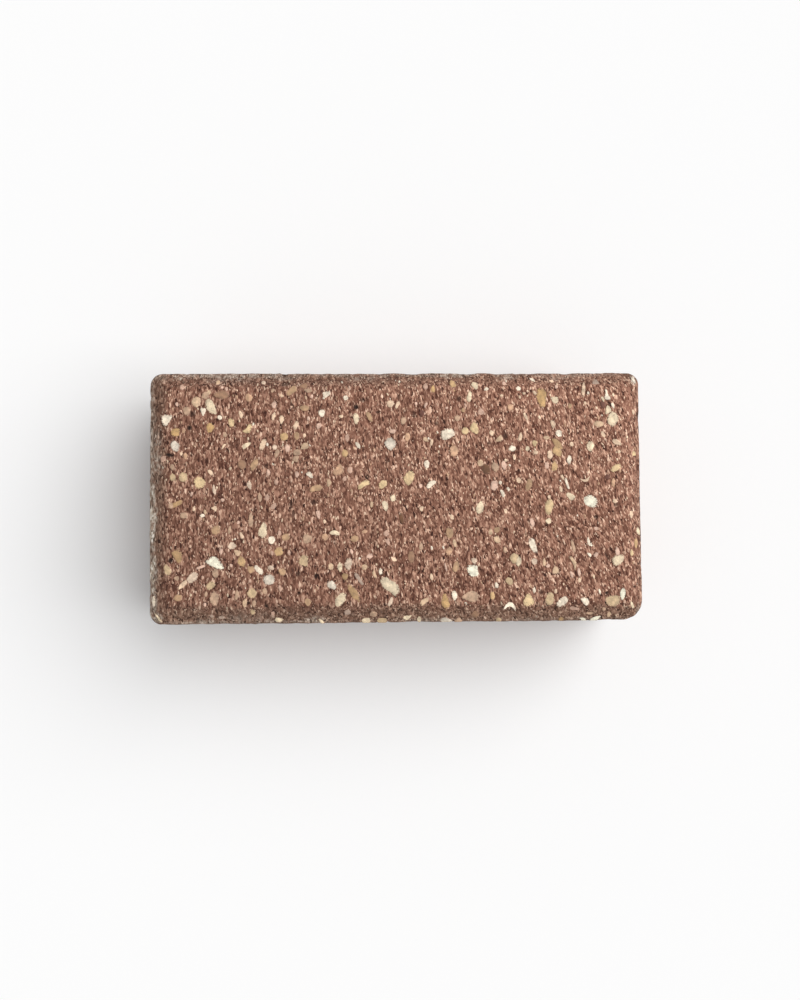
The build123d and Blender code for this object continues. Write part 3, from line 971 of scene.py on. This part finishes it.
def make_stone_material(name, mottle_size, roughness, film):
    """Stones in the concrete: each has its own tint, mottled and specked, a painted highlight toward its
    middle and painted shade toward its rim, and cement covers its rim.

    film is how unevenly the cement's edge lies on the rim.
    """
    g = Graph(name)
    where = g.places()
    number, _ = g.mosaic()
    rim = g.value("rim")
    mottle = g.between(g.noise(where, mottle_size, MOTTLE_DETAIL), NOISE_RANGE, MOTTLE_SHADES)
    shade = g.times(mottle, g.between(number, (0.0, 1.0), STONE_GRAIN_SHADES))
    # A painted highlight toward each stone's middle and painted shade toward its rim
    shade = g.times(shade, g.between(rim, DOME_LIGHT_RANGE, PAINTED_DOME_LIGHT))
    colour = g.scale(g.colour("tint"), shade)
    speck = g.between(g.noise(where, SPECK_SIZE, SPECK_DETAIL), SPECK_RANGE, (0.0, SPECK_MOST))
    colour = g.mix(speck, colour, g.plain(*SPECK_COLOUR))
    ragged = g.between(g.noise(where, RAGGED_RIM_SIZE), NOISE_RANGE, (-film, film))
    cover = g.between(g.plus(rim, ragged), COVER_RANGE)
    colour = g.mix(cover, colour, g.scale(g.ramp(number, BARE_CONCRETE), COVER_SHADE))
    g.feed(g.shader.inputs["Base Color"], colour)
    g.shader.inputs["Roughness"].default_value = roughness
    g.shader.inputs["Specular IOR Level"].default_value = STONE_GLOSS
    g.bump(g.noise(where, STONE_BUMP_SIZE, STONE_BUMP_DETAIL), STONE_BUMP, STONE_BUMP_STRENGTH)
    return g.material


def make_camera():
    """Straight above the stone but for a few degrees, so that its outline falls as in the photograph."""
    data = bpy.data.cameras.new("camera")
    data.sensor_width = SENSOR_HEIGHT
    data.lens = FOCAL_PIXELS * SENSOR_HEIGHT / IMAGE_HEIGHT
    camera = add_piece("camera", data)
    turn = (
        Matrix.Rotation(CAMERA_ROLL, 4, "Z")
        @ Matrix.Rotation(CAMERA_LEFT_TILT, 4, "Y")
        @ Matrix.Rotation(CAMERA_NEAR_TILT, 4, "X")
    )
    aside = (IMAGE_WIDTH / 2 - STONE_CENTRE_X_PIXEL) / PIXELS_PER_METRE
    along = (STONE_CENTRE_Y_PIXEL - IMAGE_HEIGHT / 2) / PIXELS_PER_METRE
    target = Matrix.Translation((0, 0, BEVEL_FOOT))
    camera.matrix_world = target @ turn @ Matrix.Translation((aside, along, CAMERA_DISTANCE))
    bpy.context.scene.camera = camera
    return camera


class PhotoPlaces:
    """Finds where on a surface a pixel of the photograph lies."""

    def __init__(self, camera, surface):
        self.eye = camera.matrix_world.translation
        self.turn = camera.matrix_world.to_3x3()
        corners = [vertex.co for vertex in surface.vertices]
        self.tree = BVHTree.FromPolygons(corners, [face.vertices for face in surface.polygons])

    def find(self, x, y):
        """The point, the surface's direction there and the size of a pixel, or None off the surface."""
        ray = Vector(((x - IMAGE_WIDTH / 2) / FOCAL_PIXELS, (IMAGE_HEIGHT / 2 - y) / FOCAL_PIXELS, -1))
        point, normal, _, _ = self.tree.ray_cast(self.eye, (self.turn @ ray).normalized())
        if point is None:
            return None
        depth = -(self.turn.transposed() @ (point - self.eye))[2]
        return np.array(point), np.array(normal), depth / FOCAL_PIXELS


def even_outline(points):
    """The same closed outline as even steps around it, against the clock."""
    closed = np.vstack([points, points[:1]])
    area = np.sum(closed[:-1, 0] * closed[1:, 1] - closed[1:, 0] * closed[:-1, 1])
    closed = closed if area > 0 else closed[::-1]
    along = np.concatenate([[0], np.cumsum(np.linalg.norm(np.diff(closed, axis=0), axis=1))])
    steps = np.arange(OUTLINE_POINTS) / OUTLINE_POINTS * along[-1]
    return np.column_stack([np.interp(steps, along, closed[:, axis]) for axis in (0, 1)])


def drawn_outline(corners):
    """The middle of a drawn stone, in pixels, and its outline from there, with its corners cut off."""
    points = np.array(corners, dtype=float)
    middle = (points.min(axis=0) + points.max(axis=0)) / 2
    points = (points - middle) * (1, -1)
    after = np.roll(points, -1, axis=0)
    near, far = 1 - CORNER_CUT_SHARE, CORNER_CUT_SHARE
    points = np.stack([near * points + far * after, far * points + near * after], axis=1).reshape(-1, 2)
    return middle, even_outline(points)


def around(radius_x, radius_y):
    """Points all round a middle, this far from it along x and along y."""
    turns = np.arange(OUTLINE_POINTS) * 2 * math.pi / OUTLINE_POINTS
    return np.column_stack([radius_x * np.cos(turns), radius_y * np.sin(turns)])


def turned(points, degrees):
    cosine, sine = math.cos(math.radians(degrees)), math.sin(math.radians(degrees))
    return points @ np.array([[cosine, sine], [-sine, cosine]])


def oval(width, height, turn):
    return turned(around(width / 2, height / 2), turn)


def blunt_outline(rng, width, height, turn, bend=0):
    """A made-up outline of this size with a few blunt corners, bent and turned."""
    corners = rng.integers(FEWEST_CORNERS, MOST_CORNERS + 1)
    order = np.arange(corners) + rng.uniform(-CORNER_SHIFT, CORNER_SHIFT, corners)
    corner_turns = order * 2 * math.pi / corners + rng.uniform(0, FIRST_CORNER_TURN)
    reach = rng.uniform(*CORNER_REACH, corners)
    turns = np.arange(OUTLINE_POINTS) * 2 * math.pi / OUTLINE_POINTS
    toward = np.maximum(np.cos(turns[:, None] - corner_turns), 0) / reach
    radius = (toward ** BLUNTNESS).sum(axis=1) ** (-1 / BLUNTNESS)
    points = around(radius, radius)
    low, high = points.min(axis=0), points.max(axis=0)
    points = (points - (low + high) / 2) / (high - low)
    sag = bend * (2 * points[:, 0]) ** 2
    points = points * (width, height)
    points[:, 1] -= sag
    return even_outline(turned(points, turn))


def listed_stones(rng):
    """Every listed stone as (colour name, x, y, outline), in pixels."""
    stones = []
    for name, drawings in DRAWN_STONES.items():
        for corners in drawings:
            (x, y), outline = drawn_outline(corners)
            stones.append((name, x, y, outline))
    for name, rows in SMALL_STONES.items():
        for x, y, *shape in rows:
            stones.append((name, x, y, blunt_outline(rng, *shape)))
    return stones


def place_marks(photo, rows):
    """Marks on the stone, seen from above, from rows of (x, y, outline, strength) in pixels."""
    marks = []
    for x, y, outline, strength in rows:
        found = photo.find(x, y)
        if found:
            point, _, pixel = found
            marks.append((point, outline * pixel, strength))
    return marks


def oval_marks(photo, rows):
    """The same, from rows of (x, y, width, height, turn, strength)."""
    return place_marks(photo, [(x, y, oval(*shape), strength) for x, y, *shape, strength in rows])


def inside_marks(points, marks, softness):
    """How far inside the marks each point lies, from 0 outside them to their strength."""
    inside = np.zeros(len(points))
    for middle, outline, strength in marks:
        angles = np.arctan2(outline[:, 1], outline[:, 0])
        order = np.argsort(angles)
        reach = np.hypot(outline[:, 0], outline[:, 1])
        near = np.flatnonzero((np.abs(points[:, :2] - middle[:2]) < reach.max() * (1 + softness)).all(axis=1))
        offset = points[near, :2] - middle[:2]
        toward = np.arctan2(offset[:, 1], offset[:, 0])
        rim = np.interp(toward, angles[order], reach[order], period=2 * math.pi)
        share = 1 - smooth_step(1 - softness, 1 + softness, np.hypot(offset[:, 0], offset[:, 1]) / rim)
        inside[near] = np.maximum(inside[near], share * strength)
    return inside


def edge_distances(points):
    return {
        "left": points[:, 0] + HALF_LENGTH,
        "right": HALF_LENGTH - points[:, 0],
        "near": points[:, 1] + HALF_WIDTH,
        "far": HALF_WIDTH - points[:, 1],
    }


def wear_corner(points):
    """Rounds off the near right corner, most of all near its top."""
    middle = np.array([HALF_LENGTH - WORN_CORNER_RADIUS, WORN_CORNER_RADIUS - HALF_WIDTH])
    offset = points[:, :2] - middle
    reach = np.hypot(offset[:, 0], offset[:, 1])
    beyond = (offset[:, 0] > 0) & (offset[:, 1] < 0) & (reach > WORN_CORNER_RADIUS)
    start, full = (share * TOP for share in WORN_CORNER_SHARES)
    height = smooth_step(start, full, points[:, 2])
    pull = np.where(beyond, height * (1 - WORN_CORNER_RADIUS / np.maximum(reach, MM)), 0)
    points[:, :2] -= offset * pull[:, None]


def weather(mesh, stones, holes):
    """Wears the smooth solid: grown bevels, chipped rims, sandy relief, holes, and seats for the stones."""
    points = read_vectors(mesh.vertices, "co")
    normals = read_vectors(mesh.vertex_normals, "vector")
    level = np.abs(normals[:, 2])
    upper = facing("worn", normals[:, 2])
    side = 1 - facing("off_side", level)
    wear_corner(points)

    ragged = bumps(points, "bevel_edge")
    for edge, distance in edge_distances(points).items():
        width = BEVEL_WIDTH + EDGE_WEAR_AND_PAINTED_LIGHT[edge]["grown"]
        worn_top = TOP - BEVEL_DROP * np.clip(1 - (distance + ragged) / width, 0, 1)
        lowered = np.minimum(points[:, 2], worn_top)
        points[:, 2] += (lowered - points[:, 2]) * upper

    upper_rim = np.exp(-(((points[:, 2] - BEVEL_FOOT) / UPPER_RIM_HEIGHT) ** 2))
    lower_rim = np.exp(-((points[:, 2] / LOWER_RIM_HEIGHT) ** 2))
    chips = spots(points, "chips") * smooth_step(*CHIP_STEEPNESS, 1 - level)
    relief = -CHIP_DEPTH * chips * (upper_rim + lower_rim)

    seat = inside_marks(points, stones, SEAT_SOFTNESS) * upper
    bare = upper * (1 - seat)
    relief += bumps(points, "swells")
    relief += bare * (bumps(points, "face") + bumps(along_grains(points), "grains"))
    relief -= seat * SEAT_DEPTH
    relief -= inside_marks(points, holes, HOLE_SOFTNESS) * bare * HOLE_DEPTH
    relief += side * (bumps(points, "sides") - VOID_DEPTH * spots(points, "voids"))

    points += normals * relief[:, None]
    points[:, 2] = np.maximum(points[:, 2], 0)
    mesh.vertices.foreach_set("co", points.ravel())
    mesh.update()


def thin_out(body):
    """Fewer faces on the sides and underneath, where the relief is softer."""
    upward = read_vectors(body.data.vertex_normals, "vector")[:, 2]
    below = upward < THIN_BELOW
    aside = (upward <= THIN_ASIDE) & ~below
    group = body.vertex_groups.new(name="plain")
    for chosen, weight in ((aside, THIN_ASIDE_WEIGHT), (below, THIN_BELOW_WEIGHT)):
        group.add(np.flatnonzero(chosen).tolist(), weight, "REPLACE")
    thin = body.modifiers.new("thin_out", "DECIMATE")
    thin.vertex_group = group.name
    faces = sum(len(face.vertices) - 2 for face in body.data.polygons)
    thin.ratio = min(1.0, BODY_FACES / faces)
    apply_modifiers(body)
    body.vertex_groups.clear()


def dirt_and_dust_and_highlight(points, normals, dust_and_highlight_marks):
    """How thick dirt, and pale dust with a painted rim highlight, lie at these points, from 0 to 1."""
    side = 1 - facing("clean", normals[:, 2])
    ragged = bumps(points, "dirt_edge")
    patchy = 0.5 + bumps(points, "patches")
    speckled = spots(points, "speckles")
    dirt = np.zeros(len(points))
    dust_and_highlight = inside_marks(points, dust_and_highlight_marks, DUST_AND_HIGHLIGHT_SOFTNESS) * at_least(DUST_AND_HIGHLIGHT_LEAST, speckled)
    rim_dust_and_highlight = at_least(RIM_DUST_AND_HIGHLIGHT_LEAST, patchy) * at_least(RIM_DUST_AND_HIGHLIGHT_LEAST, speckled)
    for edge, distance in edge_distances(points).items():
        edge_look = EDGE_WEAR_AND_PAINTED_LIGHT[edge]
        start, end = edge_look["dirt_width"] - DIRT_SOFT_WIDTH, edge_look["dirt_width"] + DIRT_SOFT_WIDTH
        band = 1 - smooth_step(start, end, distance + ragged)
        # Along each rim lies a pale line of dust and painted highlight
        rim = 1 - smooth_step(*RIM_DUST_AND_HIGHLIGHT_WIDTHS, distance + RIM_DUST_AND_HIGHLIGHT_RAGGED * ragged)
        dirt = np.maximum(dirt, edge_look["dirt"] * band)
        dust_and_highlight = np.maximum(dust_and_highlight, edge_look["dust_and_highlight"] * rim * rim_dust_and_highlight)
    dirt = dirt * (1 - side) + side * (SIDE_DIRT + SIDE_DIRT_PATCHES * patchy)
    near_top = smooth_step(BEVEL_FOOT - SIDE_DUST_AND_HIGHLIGHT_REACH, BEVEL_FOOT, points[:, 2])
    bloom = BLOOM_MOST * smooth_step(*BLOOM_RANGE, bumps(points, "bloom"))
    dust_and_highlight = dust_and_highlight * (1 - side) + side * np.maximum(dust_and_highlight * near_top, bloom)
    return dirt, np.minimum(dust_and_highlight, 1)


def edge_shade(points):
    """How much painted shade along the edges, with some edge dirt, darkens the stone at these points."""
    shade = np.ones(len(points))
    for edge, distance in edge_distances(points).items():
        edge_look = EDGE_WEAR_AND_PAINTED_LIGHT[edge]
        shade *= 1 - (1 - edge_look["shade"]) * (1 - smooth_step(0, SHADE_REACH * edge_look["dirt_width"], distance))
    return shade


def mark_surface(mesh, holes, dark_bands, dust_and_highlight_marks):
    """Writes where the stone is pale, dirty, dusty with a painted rim highlight, or dark, for the material.
    """
    points = read_vectors(mesh.vertices, "co")
    normals = read_vectors(mesh.vertex_normals, "vector")
    dirt, dust_and_highlight = dirt_and_dust_and_highlight(points, normals, dust_and_highlight_marks)
    in_dark_bands = inside_marks(points, dark_bands, DARK_BAND_SOFTNESS)
    # dark is painted shade in the holes, and the darker bands
    dark = np.maximum(inside_marks(points, holes, HOLE_SHADE_SOFTNESS), in_dark_bands)
    # fade also carries the painted shade along the right and far edges
    write_values(mesh, "fade", fade(points) * edge_shade(points))
    write_values(mesh, "dirt", dirt)
    write_values(mesh, "dust_and_highlight", dust_and_highlight)
    write_values(mesh, "side", 1 - facing("grained", normals[:, 2]))
    write_values(mesh, "dark", dark * facing("dark", normals[:, 2]))


def make_body(stones, holes, dark_bands, dust_and_highlight_marks):
    body = add_piece("stone_body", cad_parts["paving_stone"].data.copy())
    even = body.modifiers.new("even_mesh", "REMESH")
    even.mode = "VOXEL"
    even.voxel_size = BODY_STEP
    apply_modifiers(body)
    weather(body.data, stones, holes)
    thin_out(body)
    mark_surface(body.data, holes, dark_bands, dust_and_highlight_marks)
    return body


def pebble_faces():
    """Faces of one pebble: its rings, closed by a point below and a point above."""
    rings = len(PEBBLE_RINGS)
    faces = []
    for step in range(OUTLINE_POINTS):
        after = (step + 1) % OUTLINE_POINTS
        faces.append((rings * OUTLINE_POINTS, after, step))
        for ring in range(rings - 1):
            low, high = ring * OUTLINE_POINTS, (ring + 1) * OUTLINE_POINTS
            faces.append((low + step, low + after, high + after))
            faces.append((low + step, high + after, high + step))
        last = (rings - 1) * OUTLINE_POINTS
        faces.append((last + step, last + after, rings * OUTLINE_POINTS + 1))
    return np.array(faces)


def tangents(normals):
    """Two directions along the surface for each normal, the first about +X on top, and the normal itself."""
    normals = normals / np.linalg.norm(normals, axis=1)[:, None]
    guide = np.where(np.abs(normals[:, 1:2]) < GUIDE_LIMIT, (0.0, 1.0, 0.0), (0.0, 0.0, 1.0))
    first = np.cross(guide, normals)
    first /= np.linalg.norm(first, axis=1)[:, None]
    return first, np.cross(normals, first), normals


def join_copies(name, points, faces, flat, tints, rims):
    """One mesh of many small closed stones. points is stones x points x 3, and flat is each point's place
    in its own square of the map that the colours are kept on."""
    stones, count = points.shape[:2]
    all_faces = (faces[None] + (np.arange(stones) * count)[:, None, None]).reshape(-1, 3)
    mesh = bpy.data.meshes.new(name)
    mesh.from_pydata(points.reshape(-1, 3).tolist(), [], all_faces.tolist())
    write_colours(mesh, "tint", np.repeat(tints, count, axis=0))
    write_values(mesh, "rim", np.tile(rims, stones))
    squares = math.ceil(math.sqrt(stones))
    corner = np.column_stack([np.arange(stones) % squares, np.arange(stones) // squares])
    on_map = (corner[:, None] + 0.5 + MAP_FILL * np.clip(flat, -1, 1)) / squares
    write_map(mesh, on_map.reshape(-1, 2)[all_faces.ravel()])
    return add_piece(name, mesh)


def make_pebbles(stones, photo, solid_photo, rng):
    """The listed stones: worn flat domes, each with its own outline, seated in the body."""
    widths, heights = np.array(PEBBLE_RINGS).T
    up = np.concatenate([np.repeat(heights, OUTLINE_POINTS), [PEBBLE_FOOT, PEBBLE_CROWN]])
    up = np.where(up < 0, up * PEBBLE_DEPTH, up * PEBBLE_RISE)
    points, flats, tints = [], [], []
    for name, x, y, outline in stones:
        found, solid = photo.find(x, y), solid_photo.find(x, y)
        shade = rng.uniform(*PEBBLE_SHADES)
        slant = rng.uniform(-PEBBLE_SLANT, PEBBLE_SLANT, 2)
        if not (found and solid):
            continue
        point, _, pixel = found
        first, second, normal = (axis[0] for axis in tangents(solid[1][None] + (0, 0, PEBBLE_LEVEL)))
        flat = np.concatenate([np.vstack([outline * share for share in widths]), np.zeros((2, 2))])
        flats.append(flat / np.abs(flat).max(axis=0))
        flat = flat * PEBBLE_SPREAD * pixel
        rise = up + flat @ slant
        placed = point + flat[:, :1] * first + flat[:, 1:] * second + rise[:, None] * normal
        placed[:, :2] = np.clip(placed[:, :2], (-HALF_LENGTH, -HALF_WIDTH), (HALF_LENGTH, HALF_WIDTH))
        points.append(placed)
        tints.append(screen_colour(*STONE_COLOURS[name]) * shade)
    ring_rims = np.where(heights < PEBBLE_BURIED, 1.0, widths)
    rims = np.concatenate([np.repeat(ring_rims, OUTLINE_POINTS), [1.0, 0.0]])
    return join_copies("pebbles", np.array(points), pebble_faces(), np.array(flats), np.array(tints), rims)


def ball(divisions):
    """The points and faces of a ball made of triangles."""
    made = bmesh.new()
    bmesh.ops.create_icosphere(made, subdivisions=divisions, radius=1)
    points = np.array([vertex.co for vertex in made.verts])
    faces = np.array([[vertex.index for vertex in face.verts] for face in made.faces])
    made.free()
    return points, faces


def scatter(mesh, wanted, weight, rng):
    """Random points on the mesh, with its directions there, as crowded as weight(points, normals) says."""
    mesh.calc_loop_triangles()
    corners = np.empty(len(mesh.loop_triangles) * 3, np.int32)
    mesh.loop_triangles.foreach_get("vertices", corners)
    triangles = read_vectors(mesh.vertices, "co")[corners.reshape(-1, 3)]
    cross = np.cross(triangles[:, 1] - triangles[:, 0], triangles[:, 2] - triangles[:, 0])
    area = np.linalg.norm(cross, axis=1)
    normals = cross / np.maximum(area, TINY_AREA)[:, None]
    chance = area * weight(triangles.mean(axis=1), normals)
    chosen = rng.choice(len(triangles), wanted, p=chance / chance.sum())
    share = rng.uniform(size=(wanted, 2))
    share = np.where(share.sum(axis=1)[:, None] > 1, 1 - share, share)
    start, left, right = triangles[chosen].transpose(1, 0, 2)
    points = start + share[:, :1] * (left - start) + share[:, 1:] * (right - start)
    return points, normals[chosen]


def make_grains(name, shape, places, normals, sizes, sink, tints, rng):
    """Many small stones, each a knobbly ball of its own size and turn, sunk part way into the surface."""
    base, faces = shape
    count = len(places)
    first, second, normals = tangents(normals)
    spin = (rng.normal(math.pi / 2, GRAIN_SPIN, count) + lean(places))[:, None]
    along = first * np.cos(spin) + second * np.sin(spin)
    across = second * np.cos(spin) - first * np.sin(spin)
    knobs = base[None] * rng.uniform(*GRAIN_KNOBS, (count, len(base), 1)) * sizes[:, None, :]
    points = knobs[:, :, :1] * along[:, None] + knobs[:, :, 1:2] * across[:, None]
    points += knobs[:, :, 2:] * normals[:, None]
    points += (places - normals * sink[:, None])[:, None]
    flat = np.broadcast_to(base[None, :, :2], (count, len(base), 2))
    return join_copies(name, points, faces, flat, tints, np.zeros(len(base)))


def pick_colours(rng, count, shares):
    """Random colours from (share, colour) rows, each a little lighter or darker."""
    colours = np.array([screen_colour(*colour) for _, colour in shares])
    chances = np.array([share for share, _ in shares])
    picked = colours[rng.choice(len(shares), count, p=chances / chances.sum())]
    return picked * rng.uniform(*GRAIN_SHADES, (count, 1))


def grain_sizes(rng, kind):
    """Half sizes along, across and out of the surface."""
    count = kind["count"]
    size = rng.uniform(*kind["sizes"], count) / 2
    along = size * rng.uniform(GRAIN_SHORTEST, kind["longest"], count)
    across = size * rng.uniform(*GRAIN_WIDTHS, count)
    return np.column_stack([along, across, size * GRAIN_HEIGHT])


def make_sand(body, taken, dark_bands, dust_and_highlight_marks, rng):
    """The sand and fine gravel that show between the listed stones, and on the sides."""

    def on_top(points, normals):
        inner = np.min(list(edge_distances(points).values()), axis=0) > SAND_EDGE_GAP
        return facing("sandy", normals[:, 2]) * (1 - inside_marks(points, taken, TAKEN_SOFTNESS)) * inner

    def on_sides(points, normals):
        middle = np.abs(points[:, 2] - BEVEL_FOOT / 2) < BEVEL_FOOT / 2 - SIDE_EDGE_GAP
        return (1 - facing("grained", np.abs(normals[:, 2]))) * middle

    pieces = []
    for name, kind in GRAINS.items():
        upper = not name.startswith("side")
        count = kind["count"]
        places, normals = scatter(body.data, count, on_top if upper else on_sides, rng)
        sizes = grain_sizes(rng, kind)
        sink = sizes[:, 2] * rng.uniform(*kind["sunk"], count)
        # The grains take the stone's paleness, the painted shade along the right and far edges, and the
        # darker bands
        tints = pick_colours(rng, count, kind["colours"]) * (fade(places) * edge_shade(places))[:, None]
        tints *= 1 - inside_marks(places, dark_bands, DARK_BAND_SOFTNESS)[:, None]
        if upper:
            dirt, _ = dirt_and_dust_and_highlight(places, normals, dust_and_highlight_marks)
            tints += (screen_colour(*DIRTY_GRAIN) - tints) * (DIRTY_GRAIN_SHARE * dirt)[:, None]
        shape = ball(kind["divisions"])
        pieces.append(make_grains(name, shape, places, normals, sizes, sink, tints, rng))
    return pieces


def map_body(mesh):
    """Lays the body's faces out on their charts."""
    points = read_vectors(mesh.vertices, "co")
    normals = read_vectors(mesh.polygons, "normal")
    toward = normals @ np.array([chart[0] for chart in CHARTS]).T
    toward[:, 0] *= UPPER_CHART_PULL
    corner = np.empty(len(mesh.loops), np.int32)
    mesh.loops.foreach_get("vertex_index", corner)
    chart_of = np.repeat(toward.argmax(axis=1), [face.loop_total for face in mesh.polygons])
    on_map = np.zeros((len(corner), 2))
    for index, (_, across, up, low, scale) in enumerate(CHARTS):
        mine = chart_of == index
        on_map[mine] = (points[corner[mine]][:, [across, up]] - STONE_LOW[[across, up]]) * scale + low
    write_map(mesh, on_map)


def make_floor():
    mesh = bpy.data.meshes.new("floor")
    half = FLOOR_SIZE / 2
    corners = [(-half, -half, 0), (half, -half, 0), (half, half, 0), (-half, half, 0)]
    mesh.from_pydata(corners, [], [(0, 1, 2, 3)])
    floor = add_piece("floor", mesh)
    g = Graph("floor")
    g.shader.inputs["Base Color"].default_value = (FLOOR_WHITE, FLOOR_WHITE, FLOOR_WHITE, 1)
    g.shader.inputs["Roughness"].default_value = 1.0
    g.shader.inputs["Specular IOR Level"].default_value = 0.0
    mesh.materials.append(g.material)


def make_light():
    """A wide soft key light, and an even sky that looks white."""
    sun = bpy.data.lights.new("key", "SUN")
    sun.energy = KEY_SHARE * math.pi / math.sin(KEY_ELEVATION)
    sun.angle = KEY_ANGLE
    key = add_piece("key", sun)
    level = math.cos(KEY_ELEVATION)
    toward = Vector((level * math.cos(KEY_AZIMUTH), level * math.sin(KEY_AZIMUTH), math.sin(KEY_ELEVATION)))
    key.rotation_euler = toward.to_track_quat("Z", "Y").to_euler()

    world = bpy.data.worlds.new("sky")
    world.use_nodes = True
    bpy.context.scene.world = world
    nodes, links = world.node_tree.nodes, world.node_tree.links
    back = nodes["Background"]
    back.inputs["Color"].default_value = (1, 1, 1, 1)
    path = nodes.new("ShaderNodeLightPath")
    shown = path.outputs["Is Camera Ray"]
    for ray in ("Is Glossy Ray", "Is Transmission Ray"):
        either = nodes.new("ShaderNodeMath")
        either.operation = "MAXIMUM"
        links.new(shown, either.inputs[0])
        links.new(path.outputs[ray], either.inputs[1])
        shown = either.outputs[0]
    strength = nodes.new("ShaderNodeMapRange")
    strength.inputs["To Min"].default_value = SKY_SHARE
    strength.inputs["To Max"].default_value = 1.0
    links.new(shown, strength.inputs["Value"])
    links.new(strength.outputs[0], back.inputs["Strength"])


rng = np.random.default_rng(RANDOM_SEED)
camera = make_camera()
solid_photo = PhotoPlaces(camera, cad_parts["paving_stone"].data)
stones = listed_stones(rng)
stone_marks = place_marks(solid_photo, [(x, y, outline * PEBBLE_SPREAD, 1.0) for _, x, y, outline in stones])
hole_marks = oval_marks(solid_photo, [(*row, dark) for dark, rows in HOLES.items() for row in rows])
# Pale dust with a painted highlight on the rims
dust_and_highlight_marks = oval_marks(solid_photo, DUST_AND_HIGHLIGHT)
# Darker bands along the far and near bevels
dark_band_marks = oval_marks(solid_photo, DARK_BANDS)

body = make_body(stone_marks, hole_marks, dark_band_marks, dust_and_highlight_marks)
pebbles = make_pebbles(stones, PhotoPlaces(camera, body.data), solid_photo, rng)
grains = make_sand(body, stone_marks + hole_marks, dark_band_marks, dust_and_highlight_marks, rng)

map_body(body.data)
join_as_body(body, make_concrete())
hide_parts("paving_stone")
join_as_body(pebbles, make_stone_material("pebble", mottle_size=1.9, roughness=0.62, film=0.2))
grain_material = make_stone_material("grain", mottle_size=0.7, roughness=0.75, film=0.0)
for piece in grains:
    join_as_body(piece, grain_material)

make_floor()
make_light()
bpy.context.scene.view_settings.view_transform = "Standard"
